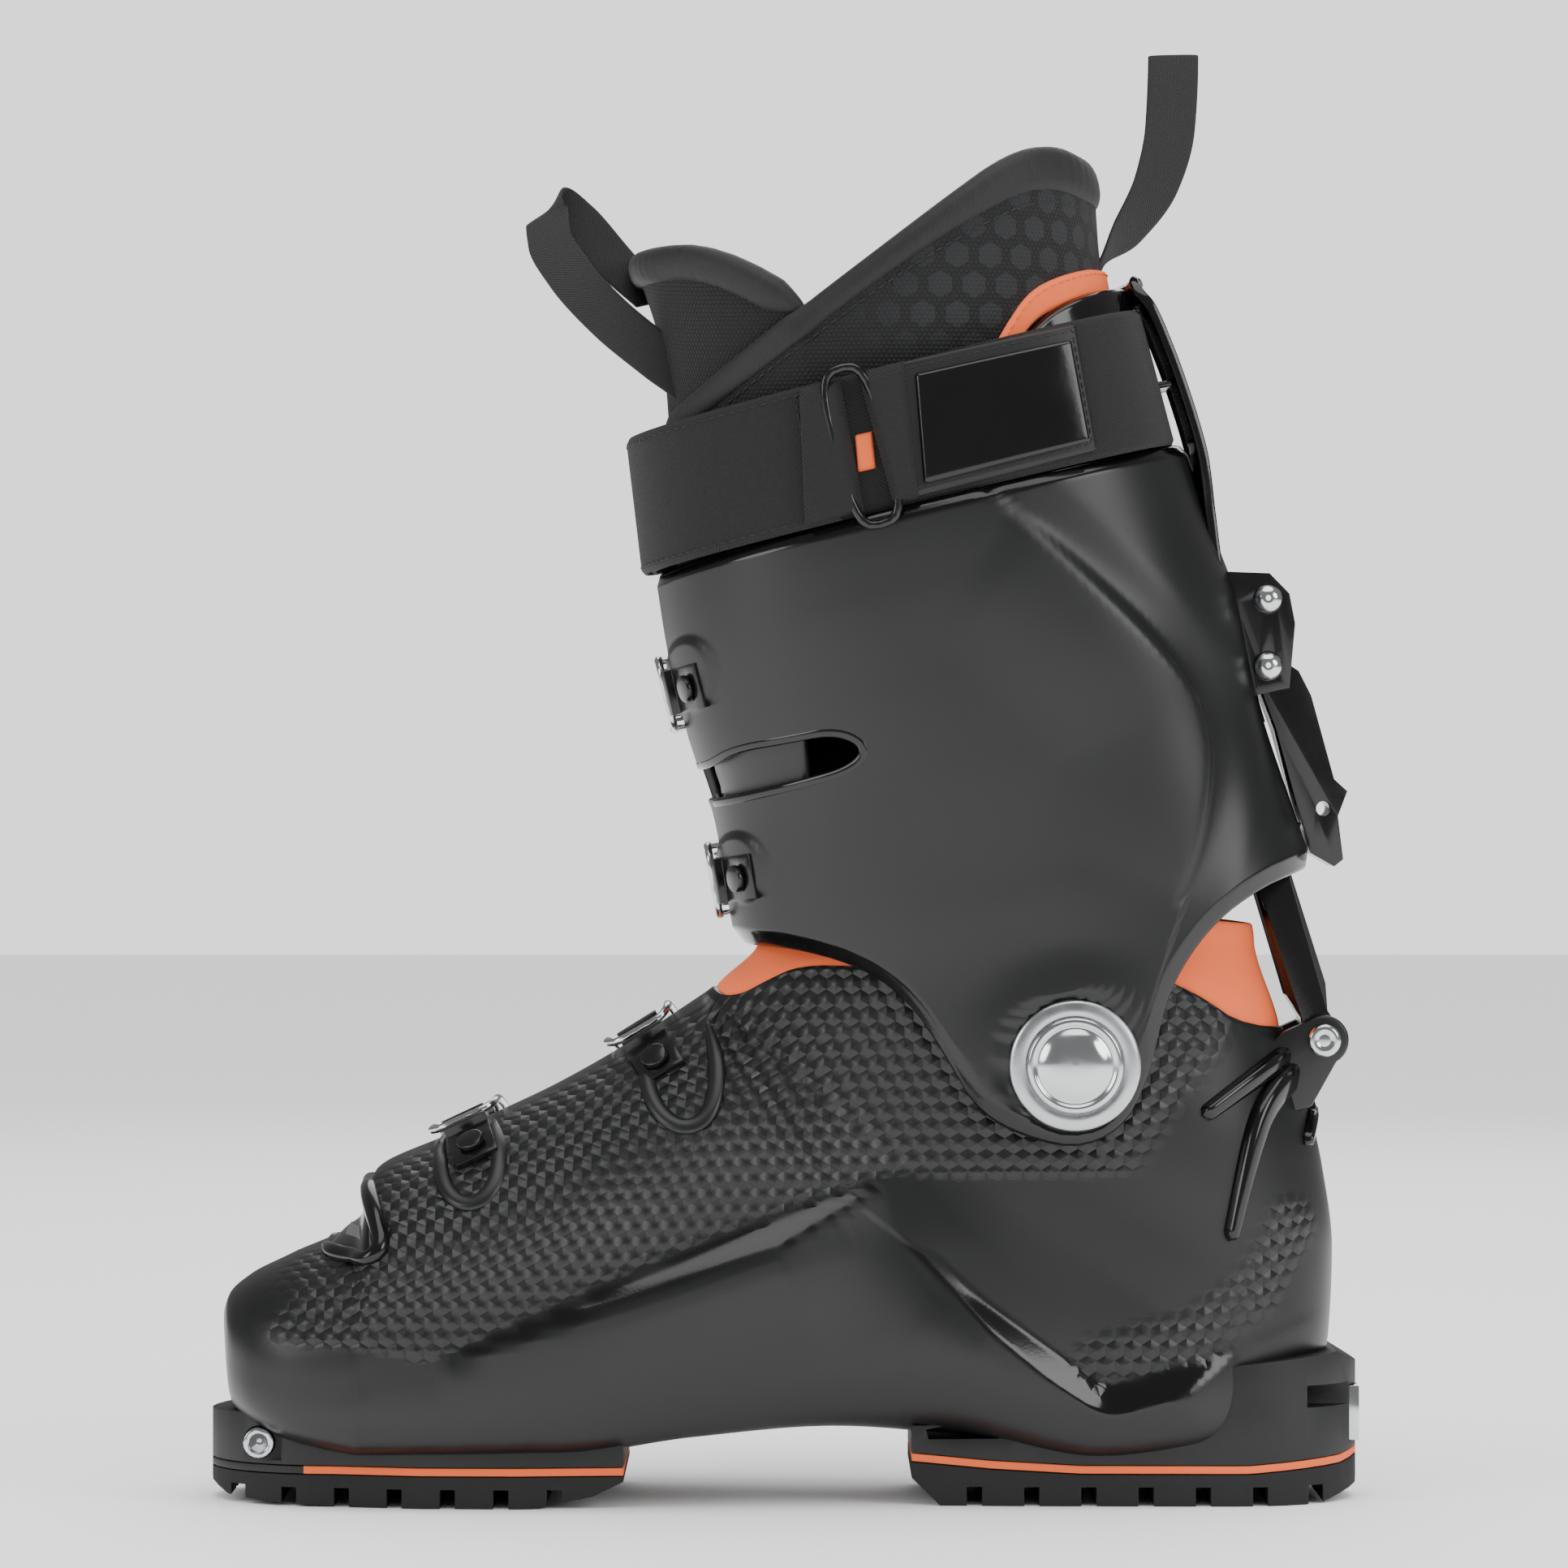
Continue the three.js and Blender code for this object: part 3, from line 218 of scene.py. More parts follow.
def edge_at(sections, angle, line, offset=0.0, nose=0, past=0.0):
    """Where each line of the skin at one angle first rises above a line drawn in the side view."""
    line = rounded(line)
    u = np.linspace(0, len(sections) - 1, 1600)
    p = skin(sections, u[:, None], np.asarray(angle)[None, :], offset, nose)
    above = p[..., 2] - np.interp(p[..., 0], line[:, 0], line[:, 1]) - past
    over = above > 0
    k = np.where(over.any(0), over.argmax(0), len(u) - 1)
    k = np.maximum(k, 1)
    col = np.arange(len(angle))
    a, b = above[k - 1, col], above[k, col]
    share = np.where(over.any(0), np.clip(-a / np.where(b - a == 0, 1, b - a), 0, 1), 1)
    return u[k - 1] + share * (u[k] - u[k - 1])


def even_rows(sections, low, high, share):
    """Sections at equal shares of the longest way between low and high, measured on the top, middle and
    bottom lines."""
    u = np.linspace(0, len(sections) - 1, 900)
    s = smooth_between(sections, u)
    lines = np.stack([s[:, 0:2], (s[:, 0:2] + s[:, 2:4]) / 2, s[:, 2:4]])
    step = np.linalg.norm(np.diff(lines, axis=1), axis=-1).max(0) + 0.02
    way = np.concatenate([[0], np.cumsum(step)])
    a, b = np.interp(low, u, way), np.interp(high, u, way)
    return np.interp(a + share * (b - a), way, u)


def side_place(sections, x, z, medial=True):
    """The section and the angle at which a point of the side view lies on the skin: the section is where the
    point crosses from one side of its line to the other, and the angle undoes the superellipse."""
    x, z = np.asarray(x, float).ravel(), np.asarray(z, float).ravel()
    u = np.linspace(0, len(sections) - 1, 900)
    s = smooth_between(sections, u)
    along = s[:, 2:4] - s[:, 0:2]
    cross = along[:, 0:1] * (z[None] - s[:, 1:2]) - along[:, 1:2] * (x[None] - s[:, 0:1])
    turned = np.sign(cross[1:]) != np.sign(cross[:-1])
    inside = (
        along[:-1, 0:1] * (x[None] - s[:-1, 0:1]) + along[:-1, 1:2] * (z[None] - s[:-1, 1:2])
    ) / (along[:-1] ** 2).sum(1)[:, None]
    good = turned & (inside > -0.05) & (inside < 1.05)
    k = np.where(good.any(0), good.argmax(0), np.abs(cross[:-1]).argmin(0))
    col = np.arange(len(x))
    a, b = cross[k, col], cross[k + 1, col]
    share = np.clip(a / np.where(a - b == 0, 1, a - b), 0, 1)
    at = u[k] + share * (u[1] - u[0])
    s = smooth_between(sections, at)
    line = s[:, 2:4] - s[:, 0:2]
    share = np.clip(((x - s[:, 0]) * line[:, 0] + (z - s[:, 1]) * line[:, 1]) / (line**2).sum(1), 0, 1)
    upper = share < s[:, 6]
    reach = np.where(upper, 1 - share / s[:, 6], (share - s[:, 6]) / (1 - s[:, 6]))
    n = np.where(upper, 1, -1) * np.clip(reach, 0, 1) ** (np.where(upper, s[:, 7], s[:, 8]) / 2)
    c = np.sqrt(np.maximum(0, 1 - n**2)) * (-1 if medial else 1)
    return at, np.arctan2(n, c) % TAU


def line_distance(x, z, line):
    """Signed distance to a line drawn in the side view, positive on its right as it is walked, and the share
    of its length at the nearest point."""
    line = np.array(line, float)
    a, b = line[:-1], line[1:]
    way = np.linalg.norm(b - a, axis=1)
    start = np.concatenate([[0], np.cumsum(way)])
    p = np.stack([x, z], -1)[..., None, :]
    t = np.clip(((p - a) * (b - a)).sum(-1) / way**2, 0, 1)
    gap = p - (a + t[..., None] * (b - a))
    distance = np.linalg.norm(gap, axis=-1)
    k = distance.argmin(-1)[..., None]
    side = np.sign((b - a)[:, 1] * gap[..., 0] - (b - a)[:, 0] * gap[..., 1])
    nearest = [np.take_along_axis(v, k, -1)[..., 0] for v in (distance, side, start[:-1] + t * way)]
    return nearest[0] * nearest[1], nearest[2] / start[-1]


def step_down(x, z, line, widths, rise):
    """A slanting step below a line: it rises from nought at the line to rise times its width at the far side
    of the facet, and dies away over the next 34 mm. Returns the height and how far a point is in the facet."""
    d, s = line_distance(x, z, rounded(line, 2))
    width = np.interp(s, np.linspace(0, 1, len(widths)), widths)
    on = np.clip(d / np.maximum(width, 0.05), 0, 1)
    height = rise * width * on * (1 - ramp(width + 4, width + 34, d))
    return height, ramp(-0.4, 0.4, d) * (1 - ramp(width - 0.4, width + 0.8, d)) * (width > 0.7)


def oval(x, z, at, half_x, half_z, lean=0.0):
    """1 inside a leaning oval and 0 outside it, with an edge about 1.5 mm wide."""
    cs, sn = np.cos(np.radians(lean)), np.sin(np.radians(lean))
    dx, dz = x - at[0], z - at[1]
    r = np.hypot((dx * cs + dz * sn) / half_x, (dz * cs - dx * sn) / half_z)
    return 1 - ramp(0.86, 1.12, r)


# ---- meshes ----------------------------------------------------------------------------------------


def quads(rows, cols, wrap_rows=False, wrap_cols=False):
    """The four corners of each cell of a grid of points."""
    r = np.arange(rows if wrap_rows else rows - 1)[:, None]
    c = np.arange(cols if wrap_cols else cols - 1)[None, :]
    r2, c2 = (r + 1) % rows, (c + 1) % cols
    return np.stack([r * cols + c, r * cols + c2, r2 * cols + c2, r2 * cols + c], -1).reshape(-1, 4)


def volume(points, faces):
    """Six times the volume inside a closed mesh, from the triangles of each face about the origin."""
    f = np.asarray(faces)
    a = points[f[:, 0]]
    total = (a * np.cross(points[f[:, 1]], points[f[:, 2]])).sum()
    if f.shape[1] == 4:
        total += (a * np.cross(points[f[:, 2]], points[f[:, 3]])).sum()
    return total


def make(name, points, four, three=None, corner_uv=None, masks=None):
    """A smooth mesh object from points in millimetres and its faces, turned so that they point outwards.
    corner_uv holds the pattern's own millimetres for each corner of the four-sided faces."""
    points = np.asarray(points, float).reshape(-1, 3)
    four = np.asarray(four).reshape(-1, 4)
    three = np.zeros((0, 3), int) if three is None else np.asarray(three).reshape(-1, 3)
    inside_out = volume(points, four) + (volume(points, three) if len(three) else 0) < 0
    if inside_out:
        four, three = four[:, ::-1], three[:, ::-1]
        corner_uv = None if corner_uv is None else corner_uv[:, ::-1]
    mesh = bpy.data.meshes.new(name)
    mesh.from_pydata((points * MM).tolist(), [], four.tolist() + three.tolist())
    if corner_uv is not None:
        layer = mesh.uv_layers.new(name="pattern")
        flat = np.zeros((len(mesh.loops), 2), np.float32)
        flat[: 4 * len(four)] = corner_uv.reshape(-1, 2)
        layer.data.foreach_set("uv", flat.ravel())
    for key, values in (masks or {}).items():
        made = mesh.attributes.new(key, "FLOAT", "POINT")
        made.data.foreach_set("value", np.asarray(values, np.float32).ravel())
    mesh.polygons.foreach_set("use_smooth", np.ones(len(mesh.polygons), bool))
    mesh.update()
    made = bpy.data.objects.new(name, mesh)
    bpy.context.scene.collection.objects.link(made)
    return made


def corners(table, rows, cols, wrap_cols):
    """The pattern's place at each corner of a grid's cells. The table has one column more than the grid when
    the grid runs right round, so that the last cell ends at the full turn."""
    width = table.shape[1]
    index = quads(rows, width)
    cell = np.arange(len(index)).reshape(rows - 1, width - 1)
    return table.reshape(-1, 2)[index[cell[:, : cols if wrap_cols else cols - 1].ravel()]]


def tube(rings, closed=False):
    """Points, four-sided and three-sided faces of rings of points carried along a path, with a point in the
    middle of each end unless the path closes on itself."""
    rows, cols = rings.shape[:2]
    points = rings.reshape(-1, 3)
    four = quads(rows, cols, closed, True)
    if closed:
        return points, four, None
    c = np.arange(cols)
    near, far = rows * cols, rows * cols + 1
    start = np.stack([c, np.full(cols, near), (c + 1) % cols], -1)
    end = (rows - 1) * cols + np.stack([c, (c + 1) % cols, c], -1)
    end[:, 2] = far
    points = np.concatenate([points, [rings[0].mean(0)], [rings[-1].mean(0)]])
    return points, four, np.concatenate([start, end])


def slip(outer, inner):
    """Points and faces of a thin solid between two grids of the same size, joined round their border."""
    rows, cols = outer.shape[:2]
    count = rows * cols
    grid = np.arange(count).reshape(rows, cols)
    border = np.concatenate([grid[0, :-1], grid[:-1, -1], grid[-1, :0:-1], grid[:0:-1, 0]])
    following = np.roll(border, -1)
    top = quads(rows, cols)
    side = np.stack([following, border, border + count, following + count], -1)
    return np.concatenate([outer.reshape(-1, 3), inner.reshape(-1, 3)]), np.concatenate(
        [top, count + top[:, ::-1], side]
    )


def eased(count, power=0.5):
    """Shares from 0 to 1, closer together at both ends as the cosine makes them."""
    even = np.linspace(0, 1, count)
    return even * (1 - power) + power * (1 - np.cos(np.pi * even)) / 2


def both_faces(uv, faces):
    """The pattern of a slip's outer face, the same on its inner face, and nought on its border."""
    return np.concatenate([uv, uv[:, ::-1], np.zeros((len(faces) - 2 * len(uv), 4, 2))])


def pillow(name, sections, u, angle, low, high, edge):
    """A padded or moulded patch on the skin: its top stands high above the skin, and comes down to low on a
    quarter circle of radius edge round its border."""
    base = skin(sections, u, angle, low)
    rows, cols = u.shape
    across, along = way_along(base[:, cols // 2]), way_along(base[rows // 2])
    inward = np.minimum(
        np.minimum(across, across[-1] - across)[:, None], np.minimum(along, along[-1] - along)[None, :]
    )
    t = np.clip(inward / edge, 0, 1)
    height = low + (high - low) * np.sqrt(1 - (1 - t) ** 2)
    points, faces = slip(skin(sections, u, angle, height), base)
    table = np.stack(np.broadcast_arrays(along[None, :], across[:, None]), -1)
    uv = corners(table, rows, cols, False)
    return make(name, points, faces, corner_uv=np.concatenate([uv, np.zeros((len(faces) - len(uv), 4, 2))]))


def side_pillow(name, sections, quad, low, high, edge, rows=24, cols=24, medial=True):
    """A pillow whose four corners are given in the side view, filled in by straight lines between them."""
    q = np.array(quad, float)
    s, t = np.meshgrid(eased(cols), eased(rows))
    flat = (
        q[0] * ((1 - s) * (1 - t))[..., None] + q[1] * (s * (1 - t))[..., None]
        + q[2] * (s * t)[..., None] + q[3] * ((1 - s) * t)[..., None]
    )
    u, angle = side_place(sections, flat[..., 0], flat[..., 1], medial)
    return pillow(name, sections, u.reshape(rows, cols), angle.reshape(rows, cols), low, high, edge)


def even_line(line, step):
    """Points at even steps along a line of straight parts."""
    line = np.array(line, float)
    way = way_along(line)
    at = np.linspace(0, way[-1], max(3, int(way[-1] / step) + 1))
    return np.stack([np.interp(at, way, line[:, k]) for k in range(line.shape[1])], -1)


def bead(name, sections, line, width, height, base=0.0, medial=True, square=2.0, taper=0.0, nose=0):
    """A rounded rib carried along a line of the side view on the skin: its section is a half superellipse, as
    wide as width, which may change evenly along it, and as high as height, and its foot is sunk 0.8 mm. taper
    is the share of its length over which each end runs out."""
    path = even_line(rounded(line, 3), 1.2)
    u, angle = side_place(sections, path[:, 0], path[:, 1], medial)
    foot = skin(sections, u, angle, base, nose)
    up = unit(skin(sections, u, angle, base + 1, nose) - foot)
    ahead = unit(np.gradient(foot, axis=0))
    across = unit(np.cross(ahead, up))
    turn = np.linspace(0, np.pi, 13)
    a = np.sign(np.cos(turn)) * np.abs(np.cos(turn)) ** (2 / square)
    b = np.sin(turn) ** (2 / square)
    section = np.concatenate([np.stack([a / 2, b * height], -1), [[-0.5, -0.8], [0.5, -0.8]]])
    share = np.linspace(0, 1, len(path))
    widths = np.interp(share, np.linspace(0, 1, np.size(width)), np.atleast_1d(width))[:, None, None]
    size = np.minimum(1, np.minimum(share, 1 - share) / taper) ** 0.5 if taper else np.ones(len(path))
    size = np.maximum(size, 0.05)[:, None, None]
    rings = foot[:, None] + size * (
        across[:, None] * section[None, :, 0:1] * widths + up[:, None] * section[None, :, 1:2]
    )
    return make(name, *tube(rings))


def smooth_path(points, count):
    """A smooth line through points, by the monotone cubic in each of their numbers."""
    points = np.array(points, float)
    return smooth_between(points, np.linspace(0, len(points) - 1, count))


def band(name, centre, across, width, thickness, count=120, round_edge=0.5):
    """Webbing carried along a path: centre and across are given at points and smoothed between them, and the
    section is a thin superellipse lying along across."""
    middle = smooth_path(centre, count)
    ahead = unit(np.gradient(middle, axis=0))
    side = unit(smooth_path(across, count))
    side = unit(side - ahead * (side * ahead).sum(-1, keepdims=True))
    up = np.cross(ahead, side)
    turn = np.linspace(0, TAU, 25)[:-1]
    a = np.sign(np.cos(turn)) * np.abs(np.cos(turn)) ** round_edge * width / 2
    b = np.sign(np.sin(turn)) * np.abs(np.sin(turn)) ** round_edge * thickness / 2
    rings = middle[:, None] + side[:, None] * a[None, :, None] + up[:, None] * b[None, :, None]
    points, four, three = tube(rings)
    way = way_along(middle)
    table = np.stack(np.broadcast_arrays(way[:, None], np.append(a, a[0])[None, :]), -1)
    return make(name, points, four, three, corner_uv=corners(table, count, len(turn), True))


def lathe(name, profile, centre, side, steps, closed=False):
    """A turned piece on an axle across the boot: profile is radius and height pairs, and height is measured
    outwards from centre towards side. A closed profile makes a ring."""
    profile = np.array(profile, float)
    turn = np.linspace(0, TAU, steps + 1)[:-1]
    x = centre[0] + profile[:, 0:1] * np.cos(turn)
    z = centre[2] + profile[:, 0:1] * np.sin(turn)
    y = np.broadcast_to(centre[1] + side * profile[:, 1:2], x.shape)
    return make(name, *tube(np.stack([x, y, z], -1), closed))


def stitches(name, places, ahead, up, length=2.2, radius=0.28):
    """Short thread stitches: each is a six-sided spindle, thick in the middle, laid along ahead."""
    across = np.cross(ahead, up)
    turn = np.linspace(0, TAU, 7)[:-1]
    along = np.array([-0.5, -0.32, 0.32, 0.5]) * length
    thick = np.array([0.25, 1, 1, 0.25]) * radius
    round_it = across[:, None, None] * (np.cos(turn)[None, None, :, None] * thick[None, :, None, None])
    round_it = round_it + up[:, None, None] * (np.sin(turn)[None, None, :, None] * thick[None, :, None, None])
    rings = places[:, None, None] + ahead[:, None, None] * along[None, :, None, None] + round_it
    each = rings.shape[1] * rings.shape[2]
    start = np.arange(len(places))[:, None, None] * each
    four = (start + quads(4, 6, False, True)[None]).reshape(-1, 4)
    caps = np.array([[0, 1, 2, 3], [0, 3, 4, 5]])
    caps = np.concatenate([caps[:, ::-1], 18 + caps])
    four = np.concatenate([four, (start + caps[None]).reshape(-1, 4)])
    return make(name, rings.reshape(-1, 3), four)


def seam_on(name, sections, u, angle, height, pitch=3.2, **size):
    """Stitches at an even pitch along a line on the skin, each lying along it."""
    fine = skin(sections, u, angle, height)
    way = way_along(fine)
    at = np.arange(pitch / 2, way[-1], pitch)
    uu, aa = np.interp(at, way, u), np.interp(at, way, angle)
    hh = np.interp(at, way, height) if np.ndim(height) else height
    place = skin(sections, uu, aa, hh)
    up = unit(skin(sections, uu, aa, hh + 1) - place)
    return stitches(name, place, unit(np.gradient(place, axis=0)), up, **size)


def dressed(node, bevel=0.4, angle=32.0, smooth=0):
    """A copy of a CAD node with its triangles merged and its flat faces made whole, its edges bevelled, and
    smooth shading across shallow edges only. It stands for the node."""
    source = frame["nodes"][node]
    mesh = source.data.copy()
    mesh.materials.clear()
    work = bmesh.new()
    work.from_mesh(mesh)
    bmesh.ops.remove_doubles(work, verts=work.verts, dist=2e-6)
    if not smooth:
        bmesh.ops.dissolve_limit(work, angle_limit=np.radians(0.6), verts=work.verts, edges=work.edges)
    work.to_mesh(mesh)
    work.free()
    made = bpy.data.objects.new(node + "_finished", mesh)
    bpy.context.scene.collection.objects.link(made)
    if smooth:
        rounder = made.modifiers.new("rounder", "SUBSURF")
        rounder.levels = rounder.render_levels = smooth
        mesh.polygons.foreach_set("use_smooth", np.ones(len(mesh.polygons), bool))
    else:
        mesh.set_sharp_from_angle(angle=np.radians(angle))
        if bevel:
            bevelled(made, bevel, angle)
    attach(made, source["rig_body"])
    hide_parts(node)
    return made


def settle(made):
    """Makes a piece's modifiers part of its mesh."""
    bpy.context.view_layer.update()
    final = bpy.data.meshes.new_from_object(made.evaluated_get(bpy.context.evaluated_depsgraph_get()))
    made.modifiers.clear()
    old, made.data = made.data, final
    bpy.data.meshes.remove(old)
    final.name = made.name


def bevelled(made, width, limit=30, segments=2, sharp=48):
    """Rounds a piece's edges, where its faces meet at more than limit degrees, by width millimetres."""
    edge = made.modifiers.new("edge", "BEVEL")
    edge.width, edge.segments, edge.limit_method = width * MM, segments, "ANGLE"
    edge.angle_limit = np.radians(limit)
    settle(made)
    made.data.set_sharp_from_angle(angle=np.radians(sharp))


def prism(outline, y0, y1):
    """A closed plate with its outline in the side view, for cutting with or as a piece."""
    outline = np.array(outline, float)
    rings = np.stack([
        np.column_stack([outline[:, 0], np.full(len(outline), y), outline[:, 1]]) for y in (y0, y1)
    ])
    return make("plate", *tube(rings))


def cut(made, cutters):
    """Takes the cutters away from a piece, and settles it."""
    for cutter in cutters:
        away = made.modifiers.new("away", "BOOLEAN")
        away.operation, away.object, away.solver = "DIFFERENCE", cutter, "EXACT"
    settle(made)
    for cutter in cutters:
        bpy.data.objects.remove(cutter)
    return made


def finish_piece(made, material, body=None, nodes=()):
    """Gives a piece its material, the body it moves with and the CAD nodes it stands for."""
    made.data.materials.clear()
    made.data.materials.append(material)
    if body:
        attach(made, body)
    if nodes:
        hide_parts(*nodes)
    return made


# ---- materials -------------------------------------------------------------------------------------
HEX_HALF = (0.5, 0.8660254, 0.5)  # half of one rectangle of the six-sided lattice


def channels(hex_colour):
    """A hex colour's red, green and blue, from 0 to 1."""
    return np.array([int(hex_colour[i : i + 2], 16) for i in (1, 3, 5)]) / 255


def to_linear(hex_colour):
    """An sRGB hex colour as linear red, green, blue and alpha."""
    c = channels(hex_colour)
    c = np.where(c <= 0.04045, c / 12.92, ((c + 0.055) / 1.055) ** 2.4)
    return (*c.tolist(), 1.0)


def to_hex(colour):
    """A colour property as an sRGB hex value."""
    return "#" + "".join(f"{round(max(0, min(1, v)) * 255):02x}" for v in colour[:3])


class Graph:
    """Adds nodes to one tree. What adds a node gives back one of its outputs."""

    def __init__(self, tree):
        self.tree = tree

    def fill(self, node, inputs):
        """Sets or links a node's inputs."""
        for key, value in inputs.items():
            if isinstance(value, bpy.types.NodeSocket):
                self.tree.links.new(value, node.inputs[key])
            else:
                node.inputs[key].default_value = value

    def add(self, kind, inputs=None, out=0, **settings):
        made = self.tree.nodes.new("ShaderNode" + kind)
        for key, value in settings.items():
            setattr(made, key, value)
        self.fill(made, inputs or {})
        return made.outputs[out]

    def place(self):
        return self.add("TexCoord", out="Object")

    def pattern(self):
        return self.add("UVMap", uv_map="pattern")

    def mask(self, name):
        return self.add("Attribute", out="Fac", attribute_name=name)

    def maths(self, operation, *values, clamp=False):
        return self.add("Math", dict(enumerate(values)), operation=operation, use_clamp=clamp)

    def vector(self, operation, *values, out=0):
        return self.add("VectorMath", dict(enumerate(values)), out, operation=operation)

    def remap(self, value, low, high, to_low=0.0, to_high=1.0):
        return self.add("MapRange", dict(enumerate((value, low, high, to_low, to_high))))

    def mixed(self, share, a, b, **settings):
        a, b = (to_linear(v) if isinstance(v, str) else v for v in (a, b))
        return self.add("Mix", {0: share, 6: a, 7: b}, 2, data_type="RGBA", **settings)

    def noise(self, place, scale, detail):
        return self.add("TexNoise", {"Vector": place, "Scale": scale, "Detail": detail})

    def bump(self, strength, distance, height, over=None):
        inputs = {"Strength": strength, "Distance": distance, "Height": height}
        return self.add("Bump", {**inputs, "Normal": over} if over else inputs)


def new_material(name, build, *values):
    """The material of that name. It is made when first asked for, with the shader inputs that build gives."""
    made = bpy.data.materials.get(name)
    if made is None:
        made = bpy.data.materials.new(name)
        made.use_nodes = True
        g = Graph(made.node_tree)
        g.tree.nodes.clear()
        shader = g.add("BsdfPrincipled")
        g.fill(g.tree.nodes.new("ShaderNodeOutputMaterial"), {"Surface": shader})
        g.fill(shader.node, build(g, *values))
    return made


def hex_cells(g, place, pitch):
    """The height of a field of six-sided pillows, from two offset rectangular lattices: each point takes the
    nearer lattice's cell, and the height falls from 1 in its middle to 0 at its border."""
    less = tuple(-v for v in HEX_HALF)
    scaled = g.add("VectorMath", {0: place, 3: 1 / pitch}, operation="SCALE")
    first = g.vector("WRAP", scaled, HEX_HALF, less)
    second = g.vector("WRAP", g.vector("SUBTRACT", scaled, HEX_HALF), HEX_HALF, less)
    first, second = [g.vector("MULTIPLY", v, (1, 1, 0)) for v in (first, second)]
    one, two = [g.vector("DOT_PRODUCT", v, v, out="Value") for v in (first, second)]
    cell = g.add("Mix", {0: g.maths("LESS_THAN", one, two), 4: second, 5: first}, 1, data_type="VECTOR")
    size = g.vector("ABSOLUTE", cell)
    lean = g.vector("DOT_PRODUCT", size, (*HEX_HALF[:2], 0), out="Value")
    reach = g.maths("MAXIMUM", lean, g.add("SeparateXYZ", {0: size}))
    return g.maths("SUBTRACT", 1.0, g.maths("POWER", g.maths("MULTIPLY", reach, 2.0), 1.7), clamp=True)


def moulded_nylon(g, colour, dark, pitch):
    """Injection-moulded glass-filled nylon: a satin skin with a faint orange peel, moulded cells where the
    emboss attribute is 1, and a polished skin where the gloss attribute is 1."""
    place, emboss, gloss = g.place(), g.mask("emboss"), g.mask("gloss")
    cells = hex_cells(g, g.pattern(), pitch)
    # 0.8 mm orange peel, and 40 mm flow marks that shift the satin
    peel, flow = g.noise(place, 1250.0, 2.0), g.noise(place, 25.0, 2.0)
    # painted shade: each cell fades from the embossed colour in its middle to near black at its border, darkening the
    # grooves between the cells
    cell_groove_shade = g.mixed(g.remap(cells, 0.0, 0.35, 0.45, 1.0), "#060607", dark)
    base = g.mixed(emboss, g.mixed(gloss, colour, "#070708"), cell_groove_shade)
    satin = g.remap(flow, 0.3, 0.7, 0.33, 0.4)
    return {
        "Base Color": g.mixed(1.0, base, g.remap(flow, 0.3, 0.7, 0.92, 1.06), blend_type="MULTIPLY"),
        "Roughness": g.add("Mix", {0: gloss, 2: satin, 3: 0.13}),
        "Normal": g.bump(1.0, 0.0007, g.maths("MULTIPLY", cells, emboss), g.bump(0.25, 0.00004, peel)),
        "IOR": 1.53,
    }


def grained(g, colour, rough, grain, depth, ior=1.5, worn=None):
    """Moulded rubber or plastic with a spark-eroded grain: grain is its spacing in metres and depth its
    height. worn is the paler colour that rubbed places take."""
    place = g.place()
    pits, clouds = g.noise(place, 1 / grain, 3.0), g.noise(place, 45.0, 4.0)
    return {
        "Base Color": g.mixed(g.remap(clouds, 0.35, 0.75), colour, worn or colour),
        "Roughness": g.remap(clouds, 0.3, 0.7, rough - 0.05, rough + 0.05),
        "Normal": g.bump(0.6, depth, pits),
        "IOR": ior,
    }


def worked_metal(g, colour, rough, lay=(1, 1, 1), scratch=0.12, metallic=1.0, coat=0.0):
    """Steel or aluminium with fine tool marks: the noise is stretched along the way it was brushed, at about
    0.3 mm across the marks, twice as coarse as real ones so that they show."""
    place = g.place()
    marks = g.noise(g.add("Mapping", {"Vector": place, "Scale": lay}), 3200.0, 2.0)
    return {
        "Base Color": to_linear(colour),
        "Roughness": g.remap(g.noise(place, 160.0, 3.0), 0.3, 0.7, rough * 0.8, rough * 1.35),
        "Normal": g.bump(scratch, 0.00002, marks),
        "Metallic": metallic,
        "Coat Weight": coat,
    }


def woven(g, colour, pale, rib=1.0, cord=0.55, depth=0.00022):
    """Ribbed polyester webbing: ribs run across the strap every rib mm and its yarns along it every cord mm,
    both read from the pattern map, whose numbers are millimetres."""
    parts = g.add("SeparateXYZ", {0: g.pattern()}).node.outputs
    across = g.maths("MULTIPLY", parts[1], TAU / cord)
    ribs = g.maths("SINE", g.maths("MULTIPLY_ADD", across, 0.5, g.maths("MULTIPLY", parts[0], TAU / rib)))
    height = g.remap(g.maths("MULTIPLY_ADD", g.maths("SINE", across), 0.6, ribs), -1.6, 1.6)
    return {
        # painted light and shade: the raised ribs and yarns take the paler colour and the low places between them the
        # darker one
        "Base Color": g.mixed(height, colour, pale),
        "Normal": g.bump(0.9, depth, height),
        "Roughness": 0.78,
        "Sheen Weight": 0.04,
    }


def spacer_mesh(g, colour, pale, print_colour):
    """Knitted spacer mesh: small open stitches 1.3 mm apart, and cells printed on it in a six-sided pattern
    9 mm apart where the printed attribute is 1."""
    place = g.pattern()
    knit, cells = hex_cells(g, place, 1.3), hex_cells(g, place, 9.0)
    shown = g.maths("MULTIPLY", g.remap(cells, 0.45, 0.5), g.mask("printed"))
    return {
        # painted shade and light: the gaps between the knitted stitches take the dark colour and their raised middles
        # the paler one
        "Base Color": g.mixed(shown, g.mixed(knit, colour, pale), print_colour),
        "Normal": g.bump(0.8, 0.00035, knit),
        "Roughness": 0.85,
        "Sheen Weight": 0.03,
    }


